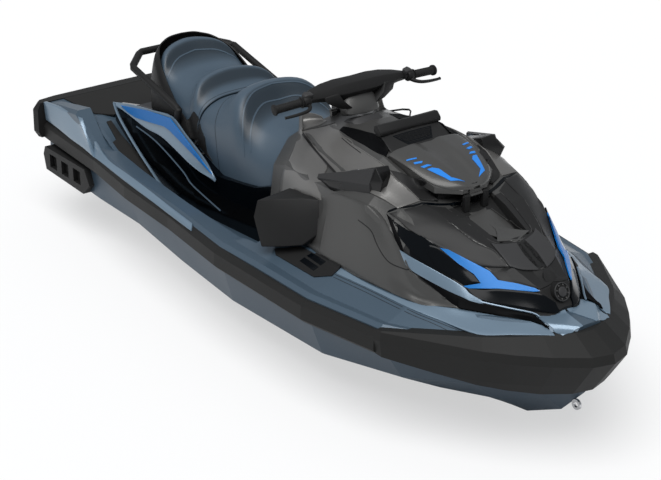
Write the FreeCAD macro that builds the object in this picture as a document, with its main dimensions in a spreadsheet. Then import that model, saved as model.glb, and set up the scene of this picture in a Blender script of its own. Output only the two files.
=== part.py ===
import FreeCAD, Part
import math
import os
import Sketcher

from FreeCAD import Rotation, Vector

# A three-seat personal watercraft in millimetres: +X to the bow, +Y to port, +Z up.
# The origin is amidships on the centreline at the waterline. Sketches give z from the keel's
# baseline, and every body's placement then lowers it by the draft.

doc = FreeCAD.newDocument("watercraft")

# Driving sizes, in millimetres and degrees
SIZES = {
    "half_length": 1724,
    "half_beam": 625,
    "deck_height": 500,
    "draft": 280,
    "overrun": 60,
    "soft_gap": 0.3,
    "run_gap": 6,
    "fit_gap": 0.05,
    "bond_height": 400,
    "pan_wall": 20,
    "strake_step": 12,
    "chine_flat": 18,
    "skin": 12,
    "rail_depth": 30,
    "rail_bottom": 362,
    "rail_top": 456,
    "transom_x": -1660,
    "engine_long": 640,
    "engine_wide": 400,
    "engine_tall": 380,
    "engine_x": -620,
    "engine_z": 140,
    "shaft_z": 140,
    "shaft_radius": 14,
    "duct_radius": 80,
    "duct_run": 470,
    "duct_drop": 175,
    "pump_front_x": -1330,
    "pump_long": 150,
    "pump_radius": 96,
    "pump_wall": 14,
    "venturi_long": 110,
    "venturi_radius": 46,
    "venturi_wall": 6,
    "hub_radius": 32,
    "impeller_radius": 76,
    "impeller_long": 60,
    "impeller_blades": 4,
    "blade_thick": 5,
    "blade_turn": 60,
    "stator_vanes": 7,
    "nozzle_long": 62,
    "nozzle_radius": 74,
    "nozzle_end_radius": 52,
    "nozzle_wall": 6,
    "nozzle_pin_back": 22,
    "nozzle_lead": 8,
    "nozzle_pin_radius": 6,
    "nozzle_ear": 12,
    "bucket_radius": 156,
    "bucket_wall": 8,
    "bucket_half": 96,
    "bucket_pin_radius": 8,
    "bucket_pin_x": -1540,
    "bucket_start": 50,
    "bucket_sweep": 64,
    "tunnel_half": 125,
    "tunnel_top": 250,
    "bay_top": 312,
    "bay_long": 250,
    "plate_thick": 10,
    "plate_long": 330,
    "grate_bar": 8,
    "grate_bars": 4,
    "grate_long": 360,
    "grate_half": 72,
    "grate_tall": 30,
    "cap_radius": 37,
    "cap_thick": 22,
    "lid_hinge_radius": 7,
    "lid_pin_radius": 4,
    "lid_hinge_long": 60,
    "bin_wall": 4,
    "bin_long": 190,
    "bin_half": 120,
    "bin_x": 665,
    "bin_floor": 560,
    "bin_rim": 834,
    "neck_radius": 46,
    "neck_base_radius": 69,
    "neck_depth": 92,
    "neck_rise": 46,
    "column_radius": 16,
    "column_rake": 30,
    "column_x": 238,
    "column_z": 945,
    "column_deep": 275,
    "bar_radius": 11,
    "bar_fore": 15.6,
    "bar_rise": 103,
    "bar_half": 405,
    "bar_cap": 4,
    "cushion_half": 215,
    "cushion_long": 110,
    "cushion_tall": 55,
    "grip_radius": 17,
    "grip_long": 125,
    "lever_thick": 9,
    "lever_clamp_radius": 20,
    "handle_radius": 12,
    "handle_foot_x": -724,
    "handle_foot_z": 750,
    "handle_rake": 14,
    "handle_long": 498,
    "handle_half": 278,
    "handle_bend": 110,
    "handle_post": 130,
    "eye_radius": 16,
    "eye_wire": 5,
    "bow_eye_x": 1526,
    "bow_eye_z": 185,
    "stern_eye_y": 262,
    "stern_eye_z": 310,
    "mat_thick": 6,
    "sponson_long": 420,
    "sponson_thick": 38,
    "sponson_tall": 130,
    "sponson_x": -1603,
    "sponson_window": 66,
    "sponson_windows": 3,
    "glass_thick": 3,
    "glove_back": -12,
    "glove_front": 92,
    "glove_half": 105,
    "glove_deep": 165,
    "glove_pin_x": 98,
    "glove_pin_z": 934,
    "socket_x": -1336,
    "socket_y": 188,
}

sheet = doc.addObject("Spreadsheet::Sheet", "sizes")
for row, (alias, number) in enumerate(SIZES.items(), start=1):
    sheet.set("A%d" % row, alias)
    sheet.set("B%d" % row, str(number))
    sheet.setAlias("B%d" % row, alias)
doc.recompute()

nodes = []


# Terms are expressions on the sheet, as text: shares of the length, the beam and the height
def along(share):
    return "%g * sizes.half_length" % share


def across(share):
    return "%g * sizes.half_beam" % share


def rising(share):
    return "%g * sizes.deck_height" % share


def value(term):
    found = sheet.evalExpression(term)
    return float(getattr(found, "Value", found))


def size(alias):
    return float(sheet.get(alias))


def new_body(name, lift="-sizes.draft"):
    body = doc.addObject("PartDesign::Body", name)
    body.setExpression("Placement.Base.z", lift)
    return body


def sketch(body, name, role, offset="0"):
    drawn = body.newObject("Sketcher::SketchObject", name)
    planes = [item for item in body.Origin.OriginFeatures if item.Role == role]
    drawn.AttachmentSupport = [(planes[0], "")]
    drawn.MapMode = "FlatFace"
    drawn.setExpression("AttachmentOffset.Base.z", offset)
    return drawn


def bind(drawn, constraint, term):
    index = drawn.addConstraint(constraint)
    drawn.setExpression("Constraints[%d]" % index, term)


def bind_point(drawn, geometry, end, x, y):
    bind(drawn, Sketcher.Constraint("DistanceX", -1, 1, geometry, end, value(x)), x)
    bind(drawn, Sketcher.Constraint("DistanceY", -1, 1, geometry, end, value(y)), y)


def outline(drawn, points):
    """A closed polygon whose corners are bound to terms."""
    corners = [Vector(value(x), value(y), 0) for x, y in points]
    first = drawn.GeometryCount
    for start, end in zip(corners, corners[1:] + corners[:1]):
        drawn.addGeometry(Part.LineSegment(start, end), False)
    count = len(corners)
    for index in range(count):
        follower = first + (index + 1) % count
        drawn.addConstraint(Sketcher.Constraint("Coincident", first + index, 2, follower, 1))
    for index, (x, y) in enumerate(points):
        bind_point(drawn, first + index, 1, x, y)
    return drawn


def both_sides(half):
    """Adds the starboard mirror of a half outline given as (y, z) terms from the middle out."""
    mirror = [("-(%s)" % y, z) for y, z in reversed(half) if abs(value(y)) > 0]
    return half + mirror


def rectangle(drawn, low, high):
    return outline(drawn, [low, (high[0], low[1]), high, (low[0], high[1])])


def circle(drawn, x, y, radius):
    centre = Vector(value(x), value(y), 0)
    index = drawn.addGeometry(Part.Circle(centre, Vector(0, 0, 1), value(radius)), False)
    bind_point(drawn, index, 3, x, y)
    bind(drawn, Sketcher.Constraint("Radius", index, value(radius)), radius)
    return drawn


def feature(body, kind, profile, name=None):
    made = body.newObject("PartDesign::" + kind, name or profile.Name + "_" + kind.lower())
    made.Profile = profile
    return made


def pad(body, profile, length, symmetric=False, flipped=False):
    made = feature(body, "Pad", profile)
    made.SideType = "Symmetric" if symmetric else "One side"
    made.Reversed = flipped
    made.setExpression("Length", length)
    return made


def pocket(body, profile, length, symmetric=False, flipped=False):
    made = feature(body, "Pocket", profile)
    made.SideType = "Symmetric" if symmetric else "One side"
    made.Reversed = flipped
    made.setExpression("Length", length)
    return made


def turn(body, profile, axis="H_Axis", kind="Revolution"):
    """Revolves a profile about one of its sketch's own axes, to add or to remove it."""
    made = feature(body, kind, profile)
    made.ReferenceAxis = (profile, [axis])
    made.Angle = 360
    return made


def around(body, original, name, count):
    """Repeats a feature round the body's own X axis."""
    made = body.newObject("PartDesign::PolarPattern", name)
    made.Originals = [original]
    axes = [item for item in body.Origin.OriginFeatures if item.Role == "X_Axis"]
    made.Axis = (axes[0], [""])
    made.Angle = 360
    made.setExpression("Occurrences", count)
    body.Tip = made
    return made


def in_line(body, original, name, axis, length, count):
    made = body.newObject("PartDesign::LinearPattern", name)
    made.Originals = [original]
    made.Direction = axis
    made.setExpression("Length", length)
    made.setExpression("Occurrences", count)
    body.Tip = made
    return made


def lofted(body, sections):
    """Joins sections by straight facets, so that a station's corners stay where they are set."""
    made = feature(body, "AdditiveLoft", sections[0])
    made.Sections = sections[1:]
    made.Ruled = True
    return made


def stations(name, table, section):
    """A body lofted through one closed section for each row of a table of stations along X."""
    body = new_body(name)
    drawn = []
    for index, row in enumerate(table):
        station = sketch(body, "%s_station_%d" % (name, index), "YZ_Plane", along(row[0]))
        drawn.append(outline(station, both_sides(section(row))))
    lofted(body, drawn)
    return body


def side_prism(name, points, width, symmetric=True, offset="0"):
    """A side view given as (x, z) terms, drawn across the craft."""
    body = new_body(name)
    drawn = outline(sketch(body, name + "_side", "XZ_Plane", offset), points)
    pad(body, drawn, width, symmetric)
    return body


def in_shares(points):
    return [(along(x), rising(z)) for x, z in points]


def block(name, x, y, z, long, wide, tall):
    made = doc.addObject("Part::Box", name)
    for label, term in (("Length", long), ("Width", wide), ("Height", tall)):
        made.setExpression(label, term)
    for label, term in (("x", x), ("y", y), ("z", "%s - sizes.draft" % z)):
        made.setExpression("Placement.Base." + label, term)
    return made


def fused(name, shapes):
    made = doc.addObject("Part::MultiFuse", name)
    made.Shapes = shapes
    return made


def cut(name, base, tools):
    made = doc.addObject("Part::Cut", name)
    made.Base = base
    made.Tool = tools[0] if len(tools) == 1 else fused(name + "_tools", tools)
    return made


def common(name, base, tool):
    made = doc.addObject("Part::Common", name)
    made.Base = base
    made.Tool = tool
    return made


def mirrored(name, source):
    made = doc.addObject("Part::Mirroring", name)
    made.Source = source
    made.Normal = Vector(0, 1, 0)
    return made


def node(made, name=None):
    if name:
        made.Label = name
    nodes.append(made)
    return made


def pair(name, source):
    """One node of two like solids, port and starboard."""
    made = doc.addObject("Part::Compound", name)
    made.Links = [source, mirrored(name + "_starboard", source)]
    return node(made)


def largest(name, source):
    """The main solid of a boolean's result, without the slivers that it leaves."""
    doc.recompute()
    made = doc.addObject("Part::Feature", name)
    made.Shape = max(source.Shape.Solids, key=lambda solid: solid.Volume)
    return made


# The hull and the deck meet along the bond line under the rub rail.
# Each station: x, keel z, chine y and z, side y at the bond line
HULL_SHARES = [
    (-0.963, 0.0, 0.704, 0.47, 0.696),
    (-0.655, 0.0, 0.76, 0.474, 0.752),
    (-0.447, 0.0, 0.768, 0.47, 0.832),
    (-0.215, 0.0, 0.816, 0.42, 0.872),
    (0.035, 0.0, 0.856, 0.386, 0.95),
    (0.383, 0.0, 0.84, 0.40, 0.957),
    (0.597, 0.016, 0.688, 0.45, 0.859),
    (0.737, 0.08, 0.464, 0.51, 0.64),
    (0.841, 0.26, 0.24, 0.55, 0.432),
    (0.905, 0.50, 0.08, 0.57, 0.16),
]
STRAKE_SHARE = 0.52


def hull_section(row):
    x, keel, chine_y, chine_z, side_y = row
    strake_y = across(chine_y * STRAKE_SHARE)
    strake_z = rising(keel + (chine_z - keel) * STRAKE_SHARE)
    step = "%g * sizes.strake_step" % chine_y
    return [
        ("0", rising(keel)),
        ("%s - %s" % (strake_y, step), "%s - %s" % (strake_z, step)),
        ("%s + %s" % (strake_y, step), "%s - %s" % (strake_z, step)),
        (
            "%s - %g * sizes.chine_flat" % (across(chine_y), chine_y),
            "%s - %s" % (rising(chine_z), step),
        ),
        (across(chine_y), rising(chine_z)),
        (across(side_y), "sizes.bond_height"),
        ("0", "sizes.bond_height"),
    ]


def side_share(x):
    """The side's y share at x along the bond line, straight between the hull's stations."""
    for before, after in zip(HULL_SHARES, HULL_SHARES[1:]):
        if x <= after[0]:
            part = (x - before[0]) / (after[0] - before[0])
            return before[4] + part * (after[4] - before[4])
    return HULL_SHARES[-1][4]


# Each station of the deck: x, gunwale z, gunwale's inner y, middle y and z
DECK_SHARES = [
    (-0.963, 1.10, 0.61, 0.58, 1.10),
    (-0.783, 1.20, 0.60, 0.57, 1.10),
    (-0.655, 0.96, 0.67, 0.64, 0.96),
    (-0.447, 0.945, 0.74, 0.70, 0.945),
    (-0.215, 0.94, 0.78, 0.74, 0.94),
    (0.035, 0.94, 0.85, 0.80, 0.94),
    (0.174, 0.95, 0.86, 0.66, 1.06),
    (0.383, 0.95, 0.88, 0.67, 1.06),
    (0.597, 0.95, 0.80, 0.61, 1.05),
    (0.737, 0.95, 0.60, 0.42, 1.06),
    (0.841, 0.96, 0.40, 0.22, 1.07),
    (0.905, 0.98, 0.14, 0.07, 1.07),
]
RIM_Z_SHARE = 0.97
RIM_Y_SHARE = 0.97


def deck_section(row):
    x, rim_z, rim_y, middle_y, middle_z = row
    side_y = side_share(x)
    return [
        ("0", "sizes.bond_height"),
        (across(side_y), "sizes.bond_height"),
        (across(side_y), rising(rim_z * RIM_Z_SHARE)),
        (across(side_y * RIM_Y_SHARE), rising(rim_z)),
        (across(rim_y), rising(rim_z)),
        (across(middle_y), rising(middle_z)),
        ("0", rising(middle_z)),
    ]


# The footwell between the gunwales: x, outer y, floor z, and the share of the pan's wall ahead
WELL_SHARES = [
    (-0.737, 0.60, 1.08, 0),
    (-0.464, 0.69, 0.60, 0),
    (-0.215, 0.75, 0.60, 0),
    (0.035, 0.79, 0.60, 0),
    (0.104, 0.79, 0.60, 1),
]


def well_form(name, wall, top):
    """The footwell's space grown by a wall, lofted up to a level above its own floor."""
    body = new_body(name)
    drawn = []
    for index, (x, y, floor, ahead) in enumerate(WELL_SHARES):
        low = "%s - %s" % (rising(floor), wall)
        high = "max(%s; %s + sizes.pan_wall)" % (top, low)
        place = "%s + %g * %s" % (along(x), ahead, wall)
        half = [
            ("0", low),
            ("%s + %s / 2" % (across(y), wall), low),
            ("%s + %s" % (across(y), wall), high),
            ("0", high),
        ]
        station = sketch(body, "%s_station_%d" % (name, index), "YZ_Plane", place)
        drawn.append(outline(station, both_sides(half)))
    lofted(body, drawn)
    return body


# The pedestal under the seats: x, side y, top y and z at the rim, middle z
PEDESTAL_SHARES = [
    (-0.737, 0.46, 1.24, 1.18),
    (-0.638, 0.48, 1.32, 1.20),
    (-0.452, 0.48, 1.40, 1.22),
    (-0.35, 0.48, 1.20, 1.16),
    (-0.235, 0.46, 1.07, 1.06),
    (-0.093, 0.43, 1.12, 1.11),
    (-0.02, 0.38, 1.20, 1.19),
]
PEDESTAL_FOOT_SHARE = 0.90
PEDESTAL_RIM_SHARE = 0.84
PEDESTAL_LOW_SHARES = (0.55, 0.9)


def pedestal_section(row):
    x, y, rim, middle = row
    low, waist = PEDESTAL_LOW_SHARES
    return [
        ("0", rising(low)),
        (across(y * PEDESTAL_FOOT_SHARE), rising(low)),
        (across(y), rising(waist)),
        (across(y), rising(rim)),
        (across(y * PEDESTAL_RIM_SHARE), rising(rim)),
        (across(y * PEDESTAL_RIM_SHARE), rising(middle)),
        ("0", rising(middle)),
    ]


# Seat sections: x, then (y, z) from the side's foot over the top to the middle
DRIVER_SHARES = [
    (-0.352, [(0.38, 1.05), (0.40, 1.30), (0.30, 1.55), (0.15, 1.60), (0, 1.60)]),
    (-0.30, [(0.40, 1.00), (0.42, 1.30), (0.34, 1.60), (0.18, 1.64), (0, 1.64)]),
    (-0.255, [(0.41, 1.00), (0.42, 1.34), (0.35, 1.70), (0.20, 1.80), (0, 1.82)]),
    (-0.215, [(0.41, 1.00), (0.41, 1.36), (0.34, 1.68), (0.20, 1.80), (0, 1.83)]),
    (-0.17, [(0.41, 1.02), (0.40, 1.30), (0.30, 1.56), (0.16, 1.62), (0, 1.62)]),
    (-0.11, [(0.40, 1.06), (0.37, 1.30), (0.25, 1.50), (0.12, 1.55), (0, 1.55)]),
    (-0.052, [(0.34, 1.14), (0.29, 1.38), (0.21, 1.54), (0.10, 1.58), (0, 1.58)]),
    (-0.022, [(0.24, 1.30), (0.22, 1.48), (0.19, 1.60), (0.09, 1.64), (0, 1.64)]),
]
PASSENGER_SHARES = [
    (-0.655, [(0.26, 1.20), (0.28, 1.50), (0.26, 1.72), (0.16, 1.80), (0, 1.82)]),
    (-0.62, [(0.32, 1.15), (0.34, 1.50), (0.32, 1.74), (0.20, 1.85), (0, 1.88)]),
    (-0.58, [(0.36, 1.10), (0.37, 1.48), (0.34, 1.72), (0.20, 1.83), (0, 1.86)]),
    (-0.53, [(0.38, 1.10), (0.40, 1.44), (0.34, 1.64), (0.18, 1.70), (0, 1.71)]),
    (-0.47, [(0.39, 1.10), (0.41, 1.40), (0.33, 1.60), (0.17, 1.66), (0, 1.67)]),
    (-0.42, [(0.39, 1.10), (0.41, 1.40), (0.33, 1.63), (0.18, 1.73), (0, 1.75)]),
    (-0.38, [(0.39, 1.08), (0.40, 1.36), (0.32, 1.59), (0.16, 1.66), (0, 1.67)]),
    (-0.357, [(0.38, 1.08), (0.40, 1.32), (0.31, 1.56), (0.15, 1.62), (0, 1.62)]),
]


def over_section(row):
    """A section from its own foot level over the top, closed along the foot."""
    half = row[1]
    return [("0", rising(half[0][1]))] + [(across(y), rising(z)) for y, z in half]


# The front bodywork: x, then (y, z) from the foot of the side over the shoulder to the middle
FRONT_SHARES = [
    (-0.012, [(0.46, 0.90), (0.46, 1.06), (0.42, 1.42), (0.30, 1.62), (0.20, 1.66), (0, 1.66)]),
    (0.058, [(0.52, 0.90), (0.52, 1.06), (0.46, 1.50), (0.33, 1.78), (0.19, 1.81), (0, 1.84)]),
    (0.174, [(0.61, 0.90), (0.61, 1.06), (0.53, 1.54), (0.43, 1.76), (0.24, 1.86), (0, 1.88)]),
    (0.29, [(0.67, 0.90), (0.67, 1.07), (0.575, 1.58), (0.49, 1.73), (0.31, 1.87), (0, 1.87)]),
    (0.355, [(0.67, 0.90), (0.67, 1.06), (0.576, 1.60), (0.48, 1.74), (0.32, 1.86), (0, 1.86)]),
    (0.36, [(0.67, 0.90), (0.67, 1.06), (0.576, 1.60), (0.48, 1.74), (0.32, 1.86), (0, 1.76)]),
    (0.42, [(0.67, 0.90), (0.67, 1.06), (0.576, 1.60), (0.47, 1.71), (0.32, 1.80), (0, 1.68)]),
    (0.493, [(0.65, 0.90), (0.65, 1.06), (0.565, 1.50), (0.48, 1.62), (0.335, 1.65), (0, 1.60)]),
    (0.58, [(0.61, 0.90), (0.61, 1.03), (0.54, 1.30), (0.46, 1.47), (0.30, 1.57), (0, 1.55)]),
    (0.69, [(0.48, 0.90), (0.48, 1.06), (0.40, 1.18), (0.30, 1.30), (0.20, 1.42), (0, 1.44)]),
    (0.80, [(0.24, 0.90), (0.24, 1.05), (0.19, 1.12), (0.15, 1.18), (0.11, 1.23), (0, 1.24)]),
    (0.835, [(0.12, 0.90), (0.12, 1.05), (0.10, 1.07), (0.08, 1.08), (0.05, 1.10), (0, 1.11)]),
]


def front_section(inset):
    """The bodywork's section with its top and its sides drawn in by a term."""

    def section(row):
        half = row[1]
        points = [("0", rising(half[0][1])), ("%s - %s" % (across(half[0][0]), inset),
                                              rising(half[0][1]))]
        for y, z in half[1:]:
            inward = "%s - %s" % (across(y), inset) if y > 0 else "0"
            points.append((inward, "%s - %s" % (rising(z), inset)))
        return points

    return section


# The recess in the fascia's top: x, y and floor z at both ends
RECESS_SHARES = [
    (0.525, 0.235, 1.56),
    (0.672, 0.155, 1.36),
]
RECESS_FLOOR_SHARE = 0.7
RECESS_TOP_SHARE = 2.0


def recess_section(row):
    x, y, floor = row
    return [
        ("0", rising(floor)),
        (across(y * RECESS_FLOOR_SHARE), rising(floor)),
        (across(y), rising(RECESS_TOP_SHARE)),
        ("0", rising(RECESS_TOP_SHARE)),
    ]


# The storage lid: x, then (y, z) at the bottom edge, the shoulder and the middle
LID_SHARES = [
    (0.364, [(0.285, 1.80), (0.285, 1.87), (0.20, 1.885), (0, 1.89)]),
    (0.44, [(0.27, 1.74), (0.27, 1.81), (0.17, 1.83), (0, 1.845)]),
    (0.50, [(0.235, 1.69), (0.235, 1.74), (0.13, 1.765), (0, 1.785)]),
    (0.538, [(0.10, 1.68), (0.10, 1.71), (0.07, 1.735), (0, 1.745)]),
]


def make_lid_room():
    """The space round the storage lid, which opens upward."""
    body = new_body("lid_room")
    drawn = []
    ends = {0: "-", len(LID_SHARES) - 1: "+"}
    for index, (x, half) in enumerate(LID_SHARES):
        place = along(x)
        if index in ends:
            place += " %s sizes.run_gap" % ends[index]
        points = [("0", "%s - sizes.run_gap" % rising(half[0][1]))]
        for step, (y, z) in enumerate(half):
            outward = "%s + sizes.run_gap" % across(y) if y > 0 else "0"
            lift = "- sizes.run_gap" if step == 0 else "+ sizes.overrun"
            points.append((outward, "%s %s" % (rising(z), lift)))
        station = sketch(body, "lid_room_station_%d" % index, "YZ_Plane", place)
        drawn.append(outline(station, both_sides(points)))
    lofted(body, drawn)
    return body


LID_HINGE_SHARES = (0.541, 1.66)


def hinge_circle(body, name, x, z, radius, length):
    """A pin or a knuckle across the craft."""
    drawn = circle(sketch(body, name, "XZ_Plane"), x, z, radius)
    return pad(body, drawn, length, True)


def make_lid():
    """The storage lid with its arm, its knuckle and its pin in one body."""
    body = stations("hood_lid", LID_SHARES, over_section)
    x, z = along(LID_HINGE_SHARES[0]), rising(LID_HINGE_SHARES[1])
    arm = sketch(body, "lid_arm", "XZ_Plane")
    rectangle(
        arm,
        ("%s - sizes.overrun" % x, "%s - sizes.lid_hinge_radius / 2" % z),
        (x, "%s + 3 * sizes.lid_hinge_radius" % z),
    )
    pad(body, arm, "sizes.lid_hinge_long", True)
    hinge_circle(body, "lid_knuckle", x, z, "sizes.lid_hinge_radius", "sizes.lid_hinge_long")
    hinge_circle(body, "lid_pin", x, z, "sizes.lid_pin_radius", "2 * sizes.lid_hinge_long")
    return body


def make_ears(name, x, z, low, high, foot):
    """Two lugs across the craft that carry a hinge pin, each a round end on a foot."""
    body = new_body(name)
    body.AllowCompound = True
    gap = "(sizes.lid_hinge_long / 2 + sizes.run_gap / 2)"
    wide = "sizes.lid_hinge_long / 2 - sizes.run_gap / 2"
    for side, offset in (("port", "-" + gap), ("starboard", gap)):
        flipped = side == "port"
        end = circle(sketch(body, "%s_end_%s" % (name, side), "XZ_Plane", offset), x, z,
                     "sizes.lid_hinge_radius")
        pad(body, end, wide, False, flipped)
        drawn = sketch(body, "%s_foot_%s" % (name, side), "XZ_Plane", offset)
        rectangle(drawn, (low, foot), (high, z))
        pad(body, drawn, wide, False, flipped)
    bore = circle(sketch(body, name + "_bore", "XZ_Plane"), x, z,
                  "sizes.lid_pin_radius + sizes.fit_gap")
    pocket(body, bore, "4 * sizes.lid_hinge_long", True)
    return body


def bin_form(name, wall, top):
    long = "sizes.bin_long + 2 * %s" % wall
    wide = "2 * sizes.bin_half + 2 * %s" % wall
    return block(
        name, "sizes.bin_x - %s" % wall, "-sizes.bin_half - %s" % wall,
        "sizes.bin_floor - %s" % wall, long, wide, "%s - sizes.bin_floor + %s" % (top, wall),
    )


# Side-view outlines, as (x, z), that divide the front bodywork's skin into panels
SIDE_PANEL_SHARES = [
    (0.16, 0.80), (0.20, 1.40), (0.285, 1.53), (0.40, 1.62), (0.465, 1.60), (0.505, 1.52),
    (0.53, 1.36), (0.555, 1.24), (0.70, 1.08), (0.60, 0.80),
]
LENS_SHARES = [
    (0.535, 1.50), (0.57, 1.49), (0.61, 1.42), (0.665, 1.32), (0.69, 1.22), (0.66, 1.20),
    (0.60, 1.26), (0.555, 1.36),
]
LENS_SIDE_SHARE = 0.16
CONSOLE_END_SHARE = 0.538


# Levels of the rail's profile: height up the rail, and its inset as a share of the rail's depth
RAIL_LEVEL_SHARES = [(0.0, 0.55), (0.18, 0.0), (0.78, 0.05), (1.0, 0.6)]
RAIL_END_SHARE = 0.597


def make_rail():
    """The port rub rail, lofted up through the levels of its profile."""
    body = new_body("rub_rail")
    side = [(row[0], row[4]) for row in HULL_SHARES if row[0] <= RAIL_END_SHARE]
    drawn = []
    for index, (height, inset) in enumerate(RAIL_LEVEL_SHARES):
        level = "sizes.rail_bottom + %g * (sizes.rail_top - sizes.rail_bottom)" % height
        proud = "%g * sizes.rail_depth" % (1 - inset)
        inner = [(along(x), across(y)) for x, y in reversed(side)]
        outer = [(along(x), "%s + %s" % (across(y), proud)) for x, y in side]
        station = sketch(body, "rub_rail_level_%d" % index, "XY_Plane", level)
        drawn.append(outline(station, outer + inner))
    lofted(body, drawn)
    return body


def in_plan(half):
    """Adds the starboard mirror of a half plan given as (x, y) terms."""
    mirror = [(x, "-(%s)" % y) for x, y in reversed(half) if abs(value(y)) > 0]
    return half + mirror


# The bumper's outer edge in plan, as (x, y), from the rail's end round to the stem
BUMPER_SHARES = [
    (0.597, 0.907), (0.615, 0.90), (0.69, 0.78), (0.737, 0.704), (0.812, 0.584), (0.87, 0.456),
    (0.922, 0.312), (0.948, 0.219), (0.972, 0.136), (0.986, 0.0),
]
# Levels of its profile: z, width against the outer edge, and how far the stem lies back
BUMPER_LEVEL_SHARES = [
    (0.56, 0.94, 0.058), (0.66, 0.97, 0.038), (0.86, 1.0, 0.0), (0.93, 0.99, 0.006),
    (1.04, 0.88, 0.065),
]
BUMPER_KNIFE_SHARES = [(0.59, 0.5), (0.59, 0.735), (0.88, 0.56), (1.1, 0.56), (1.1, 0.5)]
BUMPER_TOP_SHARES = [(0.59, 1.1), (0.59, 0.93), (0.90, 1.04), (1.1, 1.05), (1.1, 1.1)]


def make_bow_bumper(hull, deck):
    body = new_body("bumper_form")
    rear = BUMPER_SHARES[0][0]
    tip = BUMPER_SHARES[-1][0]
    drawn = []
    for index, (z, width, back) in enumerate(BUMPER_LEVEL_SHARES):
        half = []
        for x, y in BUMPER_SHARES:
            half.append((along(x - back * (x - rear) / (tip - rear)), across(y * width)))
        level = sketch(body, "bumper_level_%d" % index, "XY_Plane", rising(z))
        drawn.append(outline(level, in_plan(half)))
    lofted(body, drawn)
    knife = side_prism("bumper_knife", in_shares(BUMPER_KNIFE_SHARES), "2 * sizes.half_beam")
    top = side_prism("bumper_top", in_shares(BUMPER_TOP_SHARES), "2 * sizes.half_beam")
    return largest("bow_bumper", cut("bumper_cut", body, [knife, top, hull, deck]))


# The stern bumper in plan, as (x, y, how far it draws in), and its levels
STERN_SHARES = [
    (-0.963, 0.79, 0), (-0.985, 0.80, 1), (-1.0, 0.76, 1), (-1.008, 0.62, 1), (-1.012, 0.0, 1),
]
STERN_LEVEL_SHARES = [(0.76, 0.5), (0.82, 0.0), (1.04, 0.05), (1.11, 0.6)]


def make_stern_bumper():
    body = new_body("stern_bumper")
    drawn = []
    for index, (height, inset) in enumerate(STERN_LEVEL_SHARES):
        shift = "%g * sizes.rail_depth" % inset
        half = []
        for x, y, moves in STERN_SHARES:
            outer = "%s - %s" % (across(y), shift) if y > 0 else "0"
            half.append(("%s + %g * %s" % (along(x), moves, shift), outer))
        level = sketch(body, "stern_level_%d" % index, "XY_Plane", rising(height))
        drawn.append(outline(level, in_plan(half)))
    lofted(body, drawn)
    notch = sketch(body, "stern_notch", "XY_Plane", "sizes.bond_height")
    rectangle(notch, ("-2 * sizes.half_length", "-sizes.tunnel_half"), ("0", "sizes.tunnel_half"))
    pocket(body, notch, "sizes.bond_height")
    return body


# Trims on the pedestal's sides, as (x, z)
SWOOSH_SHARES = [
    (-0.735, 1.22), (-0.62, 1.31), (-0.46, 1.385), (-0.40, 1.28), (-0.30, 1.12), (-0.36, 1.12),
    (-0.52, 1.20),
]


def make_swoosh():
    side = across(max(row[1] for row in PEDESTAL_SHARES))
    return side_prism("side_trim", in_shares(SWOOSH_SHARES), "sizes.skin", False, side)


# Footwell pods ahead of the wells: side view (x, z), and their inner and outer y
POD_SHARES = [(0.105, 0.93), (0.11, 1.30), (0.16, 1.36), (0.245, 1.34), (0.235, 0.96)]
POD_SIDE_SHARES = (0.64, 0.86)

# Mirror housings: x of the tip and of the root, each with its (y, z) outline
MIRROR_SHARES = [
    (0.262, [(0.60, 1.67), (0.615, 1.65), (0.625, 1.67), (0.615, 1.70), (0.60, 1.69)]),
    (0.405, [(0.44, 1.65), (0.51, 1.61), (0.53, 1.74), (0.49, 1.86), (0.44, 1.86)]),
]


def make_mirror():
    body = new_body("mirror_form")
    drawn = []
    for index, (x, section) in enumerate(MIRROR_SHARES):
        station = sketch(body, "mirror_station_%d" % index, "YZ_Plane", along(x))
        drawn.append(outline(station, [(across(y), rising(z)) for y, z in section]))
    lofted(body, drawn)
    return body


# The mirror glass on the housing's inner face: how far from the tip to the root, and its z
GLASS_SHARES = [(0.12, 1.65), (0.12, 1.70), (0.62, 1.80), (0.72, 1.79), (0.72, 1.66)]


def make_mirror_glass():
    """A plate drawn in the plane of the housing's inner face."""
    tip, root = [(along(x), across(section[0][0])) for x, section in MIRROR_SHARES]
    run = "(%s - (%s))" % (root[0], tip[0])
    fall = "(%s - (%s))" % (root[1], tip[1])
    span = "sqrt(%s * %s + %s * %s)" % (run, run, fall, fall)
    body = new_body("mirror_glass")
    body.setExpression("Placement.Base.x", tip[0])
    body.setExpression("Placement.Base.y", tip[1])
    body.setExpression("Placement.Rotation.Angle", "atan(%s / %s)" % (fall, run))
    drawn = sketch(body, "mirror_glass_outline", "XZ_Plane")
    outline(drawn, [("%g * %s" % (part, span), rising(z)) for part, z in GLASS_SHARES])
    pad(body, drawn, "sizes.glass_thick")
    return body


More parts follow.
